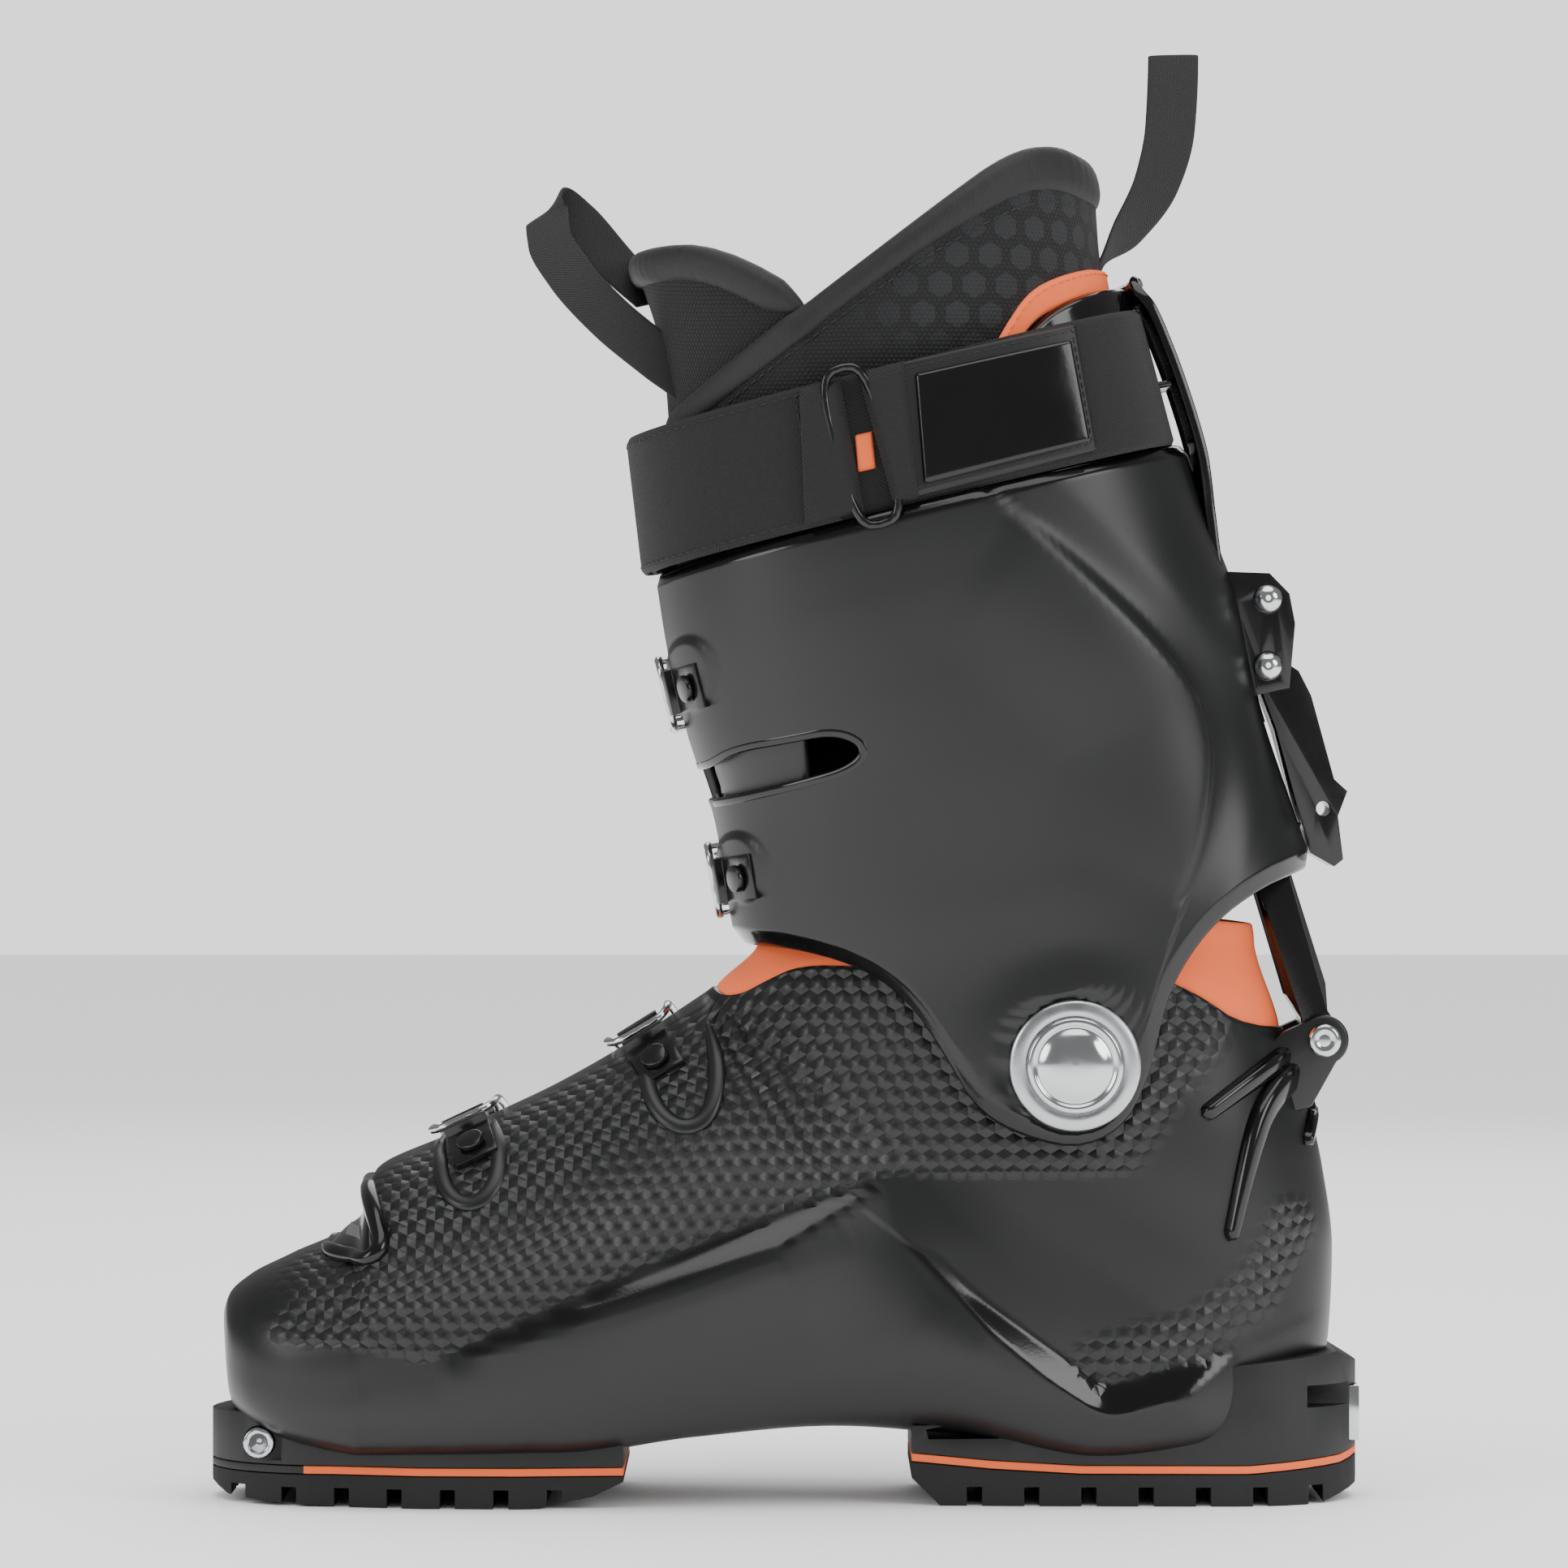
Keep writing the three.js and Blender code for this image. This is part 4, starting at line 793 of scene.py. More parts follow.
def stretch_knit(g, colour, pale):
    """Stretch polyester binding: a fine twill about 0.7 mm apart, softly shining over its padding."""
    place = g.place()
    turned = g.add("Mapping", {"Vector": place, "Rotation": (0.4, 0.9, 0.2), "Scale": (1, 1, 0.35)})
    twill = g.remap(g.noise(turned, 1400.0, 1.0), 0.35, 0.65)
    return {
        # painted light and shade: the higher parts of the twill take the paler colour and the lower parts the darker
        # one
        "Base Color": g.mixed(twill, colour, pale),
        "Normal": g.bump(0.5, 0.0001, twill, g.bump(0.5, 0.0006, g.noise(place, 60.0, 2.0))),
        "Roughness": 0.62,
        "Sheen Weight": 0.05,
    }


def plain_paint(_, colour, rough):
    return {"Base Color": to_linear(colour), "Roughness": rough}


def finishes():
    """Every finish of the boot, by the name the pieces ask for."""
    c = bpy.context.scene.boot_colours
    s = bpy.context.scene.boot_sizes
    recipes = {
        # Glass-filled nylon, moulded: satin charcoal with embossed cells on the foot.
        "shell": ("moulded_nylon", moulded_nylon, to_hex(c.shell), to_hex(c.embossed), s.cell_pitch / MM),
        # The same nylon from a polished mould: wet-looking ribs, rims and facets.
        "polished_shell": ("polished_nylon", grained, to_hex(c.polished), 0.12, 0.0012, 0.00002, 1.53),
        # Moulded thermoplastic rubber, matt and slightly dusty where it rubs.
        "sole": ("sole_rubber", grained, to_hex(c.sole), 0.6, 0.0006, 0.00006, 1.5, "#232424"),
        "tread": ("tread_rubber", grained, "#131414", 0.7, 0.0005, 0.00008, 1.5, "#1f2020"),
        # Soft orange rubber with a dry, even skin.
        "orange": ("orange_rubber", grained, to_hex(c.orange), 0.5, 0.0007, 0.00004, 1.5, "#d83600"),
        # Stainless steel, turned and polished; and brushed across for the washers.
        "steel": ("polished_steel", worked_metal, "#d6d8da", 0.14),
        "brushed": ("brushed_steel", worked_metal, "#c9cbcd", 0.27, (1, 1, 6), 0.5),
        # Steel and aluminium under black paint: a dark, tight gloss.
        "black_steel": ("black_painted_steel", worked_metal, "#141415", 0.22, (1, 1, 1), 0.2, 0.35, 0.4),
        "rack": ("black_rack_nylon", grained, "#101011", 0.2, 0.0008, 0.00003),
        # the second colour of the webbing, loop, mesh, binding and lining finishes is painted light on their raised
        # yarns
        "webbing": ("polyester_webbing", woven, "#09090a", to_hex(c.webbing)),
        "loop": ("loop_webbing", woven, "#0b0b0c", "#29292b", 0.8, 0.5, 0.00015),
        "mesh": ("spacer_mesh", spacer_mesh, "#060607", to_hex(c.mesh), "#1e2022"),
        "binding": ("stretch_binding", stretch_knit, "#0c0d0d", to_hex(c.binding)),
        "lining": ("lining_knit", stretch_knit, "#0e0e0f", "#1d1e20"),
        "vinyl": ("glossy_vinyl", grained, "#0a0a0b", 0.15, 0.004, 0.00006),
        "matt_vinyl": ("matt_vinyl", grained, "#0f1010", 0.5, 0.0006, 0.00006),
        "thread": ("polyester_thread", grained, "#1b1c1d", 0.6, 0.0004, 0.00004),
        "orange_thread": ("orange_thread", grained, "#f0641e", 0.6, 0.0004, 0.00004),
        "grey_print": ("grey_pad_print", grained, "#55585a", 0.5, 0.0006, 0.00002),
        "board": ("board_plastic", grained, "#26272a", 0.5, 0.0008, 0.00005),
    }
    return {key: new_material(*recipe) for key, recipe in recipes.items()}


# ---- sizes and colours -----------------------------------------------------------------------------


def length(name, description, value, low, high):
    """A length property, in metres."""
    return FloatProperty(name=name, description=description, default=value, min=low, max=high, unit="LENGTH")


class BootSizes(bpy.types.PropertyGroup):
    """Sizes that can be changed without moving the frame."""

    shell_wall: length("Shell wall", "Thickness of the lower shell", 0.0036, 0.002, 0.006)
    cuff_wall: length("Cuff wall", "Thickness of the cuff", 0.0034, 0.002, 0.006)
    cell_pitch: length("Cell pitch", "Distance between embossed cells", 0.0048, 0.003, 0.01)
    liner_wall: length("Liner wall", "Thickness of the padded liner", 0.006, 0.003, 0.01)
    binding_width: length("Binding width", "Width of the roll round the liner's top", 0.0078, 0.004, 0.014)
    stitch_pitch: length("Stitch pitch", "Distance from stitch to stitch", 0.003, 0.002, 0.006)
    rows: IntProperty(name="Rows", description="Rows of faces along the shells", default=250, min=60, max=300)
    columns: IntProperty(name="Columns", description="Columns of faces round the shells", default=216,
                         min=60, max=260)


def colour(name, description, value):
    """A colour property whose default is an sRGB hex value."""
    return FloatVectorProperty(name=name, description=description, default=channels(value).tolist(), min=0, max=1,
                               subtype="COLOR_GAMMA")


class BootColours(bpy.types.PropertyGroup):
    """Colours that can be changed."""

    shell: colour("Shell", "Smooth nylon of shell and cuff", "#0f1011")
    # embossed is the colour of each cell's middle; towards the cell borders it is mixed with near black as painted
    # shade
    embossed: colour("Embossed", "Nylon where the cells are moulded", "#121314")
    polished: colour("Polished", "Polished nylon ribs and rims", "#0b0b0c")
    sole: colour("Sole", "Sole blocks", "#0f1010")
    orange: colour("Orange", "Gaiter, midsole and tabs", "#cf2f00")
    # webbing, mesh and binding are the paler colours of the raised yarns, painted light against the darker colour
    # between them
    webbing: colour("Webbing", "Raised yarns of the strap", "#101111")
    mesh: colour("Mesh", "Raised yarns of the liner's mesh", "#161718")
    binding: colour("Binding", "Raised yarns of the padded binding", "#0f1010")


# ---- lower shell -----------------------------------------------------------------------------------
WEDGE = [(-93, 38), (-48.3, 57.6), (-16, 70.5), (7.6, 79.6), (26, 85.4)]
HEEL_STEP = [(28, 73), (50.1, 56.3), (78.5, 35.8), (82, 33.4), (86, 32.6), (109.6, 38.8), (119, 42)]
CELL_EDGE = [(-160, 42), (-108, 41), *WEDGE, (60, 85.6), (100, 86)]
HEEL_CELLS = [(82, 38), (108, 45), (124, 57), (133, 74)]
LIP_ROWS = 4  # rows of faces round each rounded lip


def shell_relief(x, z, side):
    """Heights added to the lower shell, with where it is polished and where it is embossed: the long facet
    above the sole wall, the bent step over the heel, and the soft hollow between them."""
    wedge, shine = step_down(x, z, WEDGE, [0.2, 3.0, 4.8, 6.4, 0.2], 0.85)
    heel, shine_heel = step_down(x, z, HEEL_STEP, [0.2, 1.6, 5.4, 6.4, 6.2, 5.4, 0.4], 0.7)
    height = (wedge + heel) * side
    above = z - np.interp(x, *np.array(CELL_EDGE).T)
    cells = ramp(0.4, 4.0, above) * ramp(-139, -122, x) * (1 - ramp(-6, 9, x - 92 - (z - 96) * 0.72))
    cells = cells * (1 - ramp(-20, 2, z - np.interp(x, [-150, -112, -109, -22, 160], [62, 78, 90, 140, 200])) * 0.75)
    near, _ = line_distance(x, z, HEEL_CELLS)
    cells = np.maximum(cells, 0.75 * (1 - ramp(2, 9, np.abs(near))))
    return height, np.maximum(shine, shine_heel) * side, cells * side


def pattern_table(sections, u, angle, medial):
    """The embossed pattern's millimetres: the widest point of the section, moved along the section's slant by
    the way round the skin from there, so the cells keep their size as the skin turns over."""
    uu = np.linspace(0, len(sections) - 1, 240)
    turn = np.linspace(0, TAU, 361)
    p = skin(sections, uu[:, None], turn[None, :])
    way = way_along(p.swapaxes(0, 1)).T
    middle = 180 if medial else 0
    way = (way[:, middle : middle + 1] - way) if medial else way - np.where(turn > np.pi, way[:, -1:], 0)
    fu, fa = np.asarray(u) / (len(sections) - 1) * 239, (np.asarray(angle) % TAU) / TAU * 360
    i, j = np.clip(fu.astype(int), 0, 238), np.clip(fa.astype(int), 0, 359)
    a, b = fu - i, fa - j
    s = way[i, j] * (1 - a) * (1 - b) + way[i + 1, j] * a * (1 - b) + way[i, j + 1] * (1 - a) * b
    s = s + way[i + 1, j + 1] * a * b
    row = smooth_between(sections, u)
    up = unit(row[..., 0:2] - row[..., 2:4])
    return row[..., 0:2] + row[..., 6:7] * (row[..., 2:4] - row[..., 0:2]) + s[..., None] * up


def wall_of_skin(name, sections, angle, low, high, wall, rows, relief, nose=0, inner_rows=40, pole=False, bulge=0.5,
                 inner_low=None):
    """A closed shell between two edges of the skin: the outer face with its relief, a rounded lip, the inner
    face at the wall's depth, and a second lip, or a point at the toe when pole is set."""
    cols = len(angle)
    share = np.linspace(0, 1, rows)[:, None]
    u = even_rows(sections, low, high, share)
    turn = np.broadcast_to(angle, u.shape)
    flat = skin(sections, u, turn, 0.0, nose)
    side = ramp(0.12, 0.4, np.abs(np.cos(turn)))
    height, shine, cells = relief(flat, side)
    outer = skin(sections, u, turn, height, nose)
    inner_low = low if inner_low is None else inner_low
    inside_u = even_rows(sections, inner_low, high, np.linspace(1, 0, inner_rows)[:, None])
    inside = skin(sections, inside_u, np.broadcast_to(angle, inside_u.shape), -wall, nose)

    def lip(a, b, before):
        out = unit(a - before) * bulge
        t = np.linspace(0, 1, LIP_ROWS + 2)[1:-1, None, None]
        return a * (1 - t) + b * t + out * np.sin(np.pi * t)

    first = lip(outer[-1], inside[0], outer[-2])
    parts = [outer, first, inside]
    if not pole:
        parts.append(lip(outer[0], inside[-1], outer[1])[::-1])
    rings = np.concatenate(parts)
    total = len(rings)
    bare = np.zeros((total - rows, cols))
    masks = {"gloss": np.concatenate([shine, bare]), "emboss": np.concatenate([cells, bare])}
    masks["gloss"][rows : rows + len(first)] = 1.0
    if not pole:
        masks["gloss"][rows + len(first) + len(inside) :] = 1.0
    if pole:
        points, four, three = tube(rings)
        masks = {k: np.append(v.ravel(), [0, 0]) for k, v in masks.items()}
    else:
        (points, four), three = (rings.reshape(-1, 3), quads(total, cols, True, True)), None
    uv = np.zeros((len(four), 4, 2))
    grown = np.append(angle, angle[0] + TAU)
    u_grown = np.concatenate([u, u[:, :1]], 1)
    index = quads(rows, cols + 1)
    middle = (angle + np.append(angle[1:], angle[0] + TAU)) / 2 % TAU
    medial = np.tile((middle > np.pi / 2) & (middle < 1.5 * np.pi), rows - 1)
    for which in (True, False):
        held = np.broadcast_to(np.clip(grown, 0, TAU - 1e-6) if which else grown, u_grown.shape)
        table = pattern_table(sections, u_grown, held, which).reshape(-1, 2)
        if not which:
            # the last column is a full turn on, where the way round starts again
            first_col = pattern_table(sections, u[:, :1], np.full_like(u[:, :1], angle[0]), False)
            table = table.reshape(rows, cols + 1, 2)
            table[:, -1:] = first_col
            table = table.reshape(-1, 2)
        cell = table[index]
        uv[: len(cell)][medial == which] = cell[medial == which]
    return make(name, points, four, three, corner_uv=uv, masks=masks)


class BOOT_OT_lower_shell(bpy.types.Operator):
    """Builds the lower shell with its facets, ribs, rims and rear ears"""

    bl_idname = "boot.lower_shell"
    bl_label = "Lower shell"

    def execute(self, context):
        s, look = context.scene.boot_sizes, finishes()
        angle = np.linspace(0, TAU, s.columns + 1)[:-1]
        high = edge_at(SHELL, angle, RIM, 0, TOE_SECTIONS)

        def relief(flat, side):
            x, z = flat[..., 0], flat[..., 2]
            return shell_relief(x, z, side)

        body = wall_of_skin("lower_shell", SHELL, angle, 0.0, high, s.shell_wall / MM, s.rows, relief,
                            TOE_SECTIONS, pole=True, inner_low=2.2)
        finish_piece(body, look["shell"], "lower_shell", ["clog_shell"])
        rims = {
            "toe_rack_rim": [(-90.5, 97), (-90.8, 91), (-89.4, 85), (-86.6, 81), (-82, 79.4), (-77.6, 81.6),
                             (-74.6, 87), (-74.6, 95), (-77, 101)],
            "instep_rack_rim": [(-36.5, 122), (-36.3, 113), (-34.6, 106.5), (-30.7, 101.4), (-25.6, 99.4),
                                (-20.9, 101.4), (-18, 107), (-17.6, 117), (-20.5, 127)],
        }
        for name, line in rims.items():
            piece = bead(name, SHELL, line, 4.6, 1.3, -0.1, taper=0.16, nose=TOE_SECTIONS)
            finish_piece(piece, look["shell"], "lower_shell")
        ribs = {
            "straight": ([(140, 121.5), (124, 112.6), (109.4, 102.4)], [7, 5.4, 4.2], 2.4),
            "bent": ([(141, 117), (131.6, 110.8), (125.6, 103.5), (121.6, 91.6), (116.4, 69.6)],
                     [8, 8, 6, 4.4, 3.4], 3.0),
            "back": ([(143.5, 117), (141.4, 106), (137.6, 94)], [5, 4, 3], 2.4),
        }
        for side in SIDES:
            for name, (line, width, height) in ribs.items():
                piece = bead(f"{name}_rib_{side}", SHELL, line, width, height, 0, side == "medial", 3.2, 0.04)
                finish_piece(piece, look["polished_shell"], "lower_shell")
        around = np.radians(np.arange(-60, 131, 10))
        boss = np.column_stack([REAR_PIN[0] + 6.6 * np.cos(around), REAR_PIN[1] + 6.6 * np.sin(around)])
        ear = [(132.5, 124), (118, 113.5), (112, 103), (130, 101), (139.5, 104), *boss]
        for side, sign in SIDES.items():
            made = prism(ear, sign * 11.5, sign * 17.5)
            made.name = f"rear_ear_{side}"
            bevelled(made, 0.9, segments=3, sharp=40)
            finish_piece(made, look["shell"], "lower_shell")
        finish_piece(dressed("strut_pin", 0.5, 40), look["steel"])
        cups = [(0, 1.9), (1.6, 1.9), (2.0, 2.3), (3.4, 2.4), (4.3, 1.9), (4.4, 0.6), (0, 0.5)]
        for side, sign in SIDES.items():
            made = lathe(f"strut_pin_head_{side}", cups, (REAR_PIN[0], sign * 17.2, REAR_PIN[1]), sign, 40)
            finish_piece(made, look["steel"], "lower_shell")
        # The seal at the foot of the toe step: a rolled edge, a panel over the toe, and a small inlay on it.
        roll = [(-111.5, 87), (-109, 81), (-106.2, 74), (-105, 69.4), (-106.6, 66.4), (-112, 65.4), (-119, 66),
                (-122, 68)]
        panel = [(-121.5, 66.4), (-106.6, 66), (-109, 79.6), (-113, 75.4)]
        for side in SIDES:
            medial = side == "medial"
            made = bead(f"toe_seal_roll_{side}", SHELL, roll, 5, 2.6, 0, medial, taper=0.1, nose=TOE_SECTIONS)
            finish_piece(made, look["vinyl"], "lower_shell", ["toe_seal"] if medial else ())
            made = side_pillow(f"toe_seal_panel_{side}", SHELL, panel, -0.3, 1.0, 1.6, medial=medial)
            finish_piece(made, look["vinyl"], "lower_shell")
        inlay = [(-116, 69.6), (-111, 69.2), (-111.8, 71.8), (-115.4, 71.6)]
        made = side_pillow("toe_seal_inlay", SHELL, inlay, 0.8, 1.4, 0.8)
        finish_piece(made, look["grey_print"], "lower_shell")
        return {"FINISHED"}


class BOOT_OT_sole(bpy.types.Operator):
    """Builds the sole blocks, midsoles, treads, tech inserts and what lies inside the shell"""

    bl_idname = "boot.sole"
    bl_label = "Sole and inserts"

    def execute(self, context):
        look = finishes()
        for node in ("toe_sole_block", "heel_sole_block"):
            made = dressed(node, 0)
            if node == "heel_sole_block":
                slot = rounded([(38, 17.4), (37, 20.8), (56, 21.2), (62, 17.8), (38, 17.4)], 1)[:-1]
                window = [(137.6, 25.4), (137.6, 31.2), (158, 31.2), (158, 25.4)]
                cutters = []
                for sign in SIDES.values():
                    cutters.append(prism(slot, *sorted((sign * 24.0, sign * 44.0))))
                    cutters.append(prism(window, *sorted((sign * 14.0, sign * 44.0))))
                cut(made, cutters)
            bevelled(made, 0.7, 34)
            finish_piece(made, look["sole"])
        finish_piece(dressed("heel_midsole", 0.25), look["orange"])
        made = dressed("toe_midsole", 0.25)
        orange_from = -0.126  # the toe's end of the midsole is black
        work = bmesh.new()
        work.from_mesh(made.data)
        whole = work.verts[:] + work.edges[:] + work.faces[:]
        bmesh.ops.bisect_plane(work, geom=whole, plane_co=(orange_from, 0, 0), plane_no=(1, 0, 0), dist=1e-6)
        work.to_mesh(made.data)
        work.free()
        finish_piece(made, look["orange"])
        made.data.materials.append(look["sole"])
        for face in made.data.polygons:
            face.material_index = int(face.center.x < orange_from)
        for node in ("toe_tread", "heel_tread"):
            finish_piece(dressed(node, 0.5), look["tread"])
        finish_piece(dressed("toe_insert", 0.3), look["steel"])
        finish_piece(dressed("heel_insert", 0.5), look["steel"])
        finish_piece(dressed("heel_insert_screw", 0.3), look["brushed"])
        finish_piece(dressed("boot_board", 0.6), look["board"])
        for node in ("liner_foot", "footbed"):
            made = dressed(node, 0, 50)
            finish_piece(made, look["lining"])
        return {"FINISHED"}


# ---- cuff ------------------------------------------------------------------------------------------
CREASE = [(60, 261), (67.3, 256.4), (81.4, 244), (95.7, 230.5), (107.4, 217), (111.8, 206.6), (113.1, 193.7),
          (110.5, 175.6), (105, 160)]


def cuff_relief(flat, side, low_gap, high_gap):
    """Heights added to the cuff: a panel that stands proud in front of the crease, two buckle bosses, a flat
    seat for the pivot's washer, and edges that draw in."""
    x, z = flat[..., 0], flat[..., 2]
    d, s = line_distance(x, z, rounded(CREASE, 3))
    fade = np.sin(np.pi * np.clip(s * 0.94 + 0.03, 0, 1)) ** 0.5
    panel = (2.3 * ramp(-0.6, 3.4, d) * (1 - ramp(6, 44, d)) - 1.1 * (1 - ramp(0, 9, np.abs(d + 3.5)))) * fade
    bosses = 1.1 * np.maximum(oval(x, z, (-24.5, 218.4), 6.6, 9.4, 8), oval(x, z, (-11.5, 167.4), 6.6, 9, 10))
    hump = 1.0 * (1 - ramp(17, 33, np.hypot(x - PIVOT[0], z - PIVOT[1])))
    height = side * (panel + hump) + bosses * (flat[..., 1] < 0)
    chamfer = (1 - np.clip(low_gap / 4.4, 0, 1)) * 2.4 + (1 - np.clip(high_gap / 2.6, 0, 1)) * 1.2
    height = height - chamfer
    shine = np.maximum(1 - ramp(4.0, 5.4, low_gap), 1 - ramp(2.4, 3.4, high_gap))
    return height, shine, np.zeros_like(height)


class BOOT_OT_cuff(bpy.types.Operator):
    """Builds the cuff with its flap slot, crease, bosses and rear spine"""

    bl_idname = "boot.cuff"
    bl_label = "Cuff"

    def execute(self, context):
        s, look = context.scene.boot_sizes, finishes()
        wall = s.cuff_wall / MM
        angle = np.linspace(0, TAU, s.columns + 1)[:-1]
        low, high = edge_at(CUFF, angle, CUFF_LOW), edge_at(CUFF, angle, CUFF_HIGH)

        def relief(flat, side):
            way = way_along(flat)
            low_line, high_line = rounded(CUFF_LOW), rounded(CUFF_HIGH)
            low_gap, _ = line_distance(flat[..., 0], flat[..., 2], low_line[::2])
            high_gap, _ = line_distance(flat[..., 0], flat[..., 2], high_line)
            height, shine, cells = cuff_relief(flat, side, np.minimum(np.abs(low_gap), way),
                                               np.minimum(np.abs(high_gap), way[-1] - way))
            r = np.hypot(flat[..., 0] - PIVOT[0], flat[..., 2] - PIVOT[1])
            seat = np.where(flat[..., 1] < 0, *WASHER_SEAT.values())
            sunk = seat - np.abs(flat[..., 1])
            on_side = np.abs(flat[..., 1]) > 30
            height = np.where(on_side, sunk + (height - sunk) * ramp(*SEAT_EDGE, r), height)
            return height, shine, cells

        body = wall_of_skin("cuff_shell_finished", CUFF, angle, low, high, wall, s.rows - 40, relief, inner_rows=30,
                            bulge=0.7)
        slot_line = rounded([*FLAP_SLOT, FLAP_SLOT[0]], 2)[:-1]
        channel = [(76, 60), (76, 200), (84, 206), (190, 206), (190, 60)]
        cut(body, [prism(slot_line, -75, 12), prism(channel, -12, 12)])
        body.name = "cuff_shell_finished"
        finish_piece(body, look["shell"], "cuff", ["cuff_shell"])
        lip_line = [(-27.5, 194.4), (-20.7, 194.3), (-14.1, 198.7), (0, 201.1), (13.6, 203.7), (21.8, 199.2),
                    (17.8, 193.2), (4, 189.2), (-17.5, 184.2), (-24.5, 184.2)]
        finish_piece(bead("flap_slot_lip", CUFF, lip_line, 2.6, 0.7, -0.5, square=2.4), look["polished_shell"], "cuff")
        flap = side_pillow("inner_flap", CUFF, [(-24, 179), (4, 183.5), (3, 204), (-27, 200)], -4.9, -3.7, 1.0)
        finish_piece(flap, look["shell"], "cuff")
        self.spine(look)
        return {"FINISHED"}

    def spine(self, look):
        """The open frame behind the strap: two legs up from the cuff, a cross bar, a bridge and a hood."""
        for side, sign in SIDES.items():
            centre = [(114, sign * 13, 246), (112, sign * 13.2, 262), (110.4, sign * 13.6, 275),
                      (101.8, sign * 14, 303), (95.4, sign * 13.4, 317), (91.6, sign * 9, 320.4), (90.6, 0, 321)]
            across = [(0.2, sign, 0)] * 5 + [(0.6, sign * 0.7, 0.3), (0.9, 0, 0.35)]
            made = band(f"spine_leg_{side}", centre, across, 8.6, 3.2, 90, 0.3)
            finish_piece(made, look["polished_shell"], "cuff")
        centre = [(105.6, 0, 296.5), (101.6, 0, 295.6), (97.4, 0, 295)]
        bridge = band("spine_bridge", centre, [(0, 1, 0)] * 3, 27, 2.4, 12)
        finish_piece(bridge, look["polished_shell"], "cuff")
        turn = np.linspace(np.radians(206), np.radians(334), 70)[None, :]
        middle = np.abs(turn - np.radians(270)) / np.radians(64)
        top = edge_at(LEG, turn.ravel(), [(0, 292), (58, 301), (66, 311), (75, 317.5), (86, 321), (120, 322)])[None, :]
        u = top - np.linspace(1, 0, 16)[:, None] * (0.4 - 0.26 * middle**2)
        proud = 3.0 + 4.6 * np.clip(1 - 1.8 * middle**2, 0, 1)
        hood = pillow("spine_hood", LEG, u, turn, 0.5, proud, 2.0)
        finish_piece(hood, look["polished_shell"], "cuff")


class BOOT_OT_pivots(bpy.types.Operator):
    """Builds the pivot washers and domed rivets"""

    bl_idname = "boot.pivots"
    bl_label = "Pivots"

    def execute(self, context):
        look = finishes()
        washer = [(6.4, 0.35), (6.4, 1.5), (12.6, 1.6), (13.2, 1.95), (14.4, 2.0), (16.2, 1.75), (16.9, 1.3),
                  (17.2, 0.9), (17.2, 0.35)]
        head = [(0, 4.9), (2, 4.86), (4, 4.7), (6, 4.35), (7.6, 3.85), (8.8, 3.2), (9.5, 2.7), (9.9, 2.55), (10.3, 2.7),
                (10.7, 3.2), (11.2, 3.35), (11.9, 3.25), (12.4, 2.9), (12.6, 2.3), (12.6, 2.05),
                (6, 2.0), (6, -8.8), (0, -9)]
        for side, sign in SIDES.items():
            centre = (PIVOT[0], sign * WASHER_SEAT[side], PIVOT[1])
            made = lathe(f"pivot_washer_{side}_finished", washer, centre, sign, 96, closed=True)
            made.data.set_sharp_from_angle(angle=np.radians(40))
            finish_piece(made, look["brushed"], "cuff", [f"pivot_washer_{side}"])
            made = lathe(f"pivot_rivet_{side}_finished", head, centre, sign, 96)
            made.data.set_sharp_from_angle(angle=np.radians(50))
            finish_piece(made, look["steel"], frame["nodes"][f"pivot_rivet_{side}"]["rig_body"],
                         [f"pivot_rivet_{side}"])
        return {"FINISHED"}


class BOOT_OT_lean_lock(bpy.types.Operator):
    """Builds the lean lock: strut, bracket, rivets and lever"""

    bl_idname = "boot.lean_lock"
    bl_label = "Lean lock"

    def execute(self, context):
        look = finishes()
        made = dressed("lean_strut", 0.8)
        points = np.empty(len(made.data.vertices) * 3)
        made.data.vertices.foreach_get("co", points)
        points = points.reshape(-1, 3)
        # The bar is broadened in its own plane, most above the eye: by how far each point is from its middle line.
        lean = np.radians(17)
        from_pin = points[:, [0, 2]] - np.array(REAR_PIN) * MM
        across = from_pin @ np.array([np.cos(lean), np.sin(lean)])
        along = from_pin @ np.array([-np.sin(lean), np.cos(lean)])
        more = 0.65 * ramp(0.007, 0.016, along) * across
        points[:, 0] += more * np.cos(lean)
        points[:, 2] += more * np.sin(lean)
        made.data.vertices.foreach_set("co", points.ravel())
        made.data.update()
        finish_piece(made, look["rack"])
        finish_piece(dressed("lock_bracket", 0.6), look["black_steel"])
        finish_piece(dressed("lock_lever", 0.7), look["black_steel"])
        dome = [(0, 3.0), (1.4, 2.9), (2.6, 2.4), (3.5, 1.5), (3.9, 0.5), (3.9, 0.1), (0, 0)]
        for node, x, z in (("lock_rivet", 128.2, 238.5), ("lock_hinge_pin", 128.2, 220.7)):
            finish_piece(dressed(node, 0.3), look["steel"])
            for side, sign in SIDES.items():
                made = lathe(f"{node}_dome_{side}", dome, (x, sign * 13.9, z), sign, 40)
                finish_piece(made, look["steel"], frame["nodes"][node]["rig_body"])
        return {"FINISHED"}


class BOOT_OT_buckles(bpy.types.Operator):
    """Builds the four buckles: racks, screws, bases, pins, levers and bails"""

    bl_idname = "boot.buckles"
    bl_label = "Buckles"

    def execute(self, context):
        look = finishes()
        for place in ("toe", "instep", "lower", "upper"):
            finish_piece(dressed(f"{place}_catch_rack", 0.35), look["rack"])
            finish_piece(dressed(f"{place}_catch_screw", 0.5), look["black_steel"])
            finish_piece(dressed(f"{place}_buckle_base", 0.4), look["black_steel"])
            finish_piece(dressed(f"{place}_hinge_pin", 0.2), look["steel"])
            finish_piece(dressed(f"{place}_buckle_lever", 0.6), look["black_steel"])
            finish_piece(dressed(f"{place}_buckle_bail", 0, smooth=1), look["steel"])
        return {"FINISHED"}


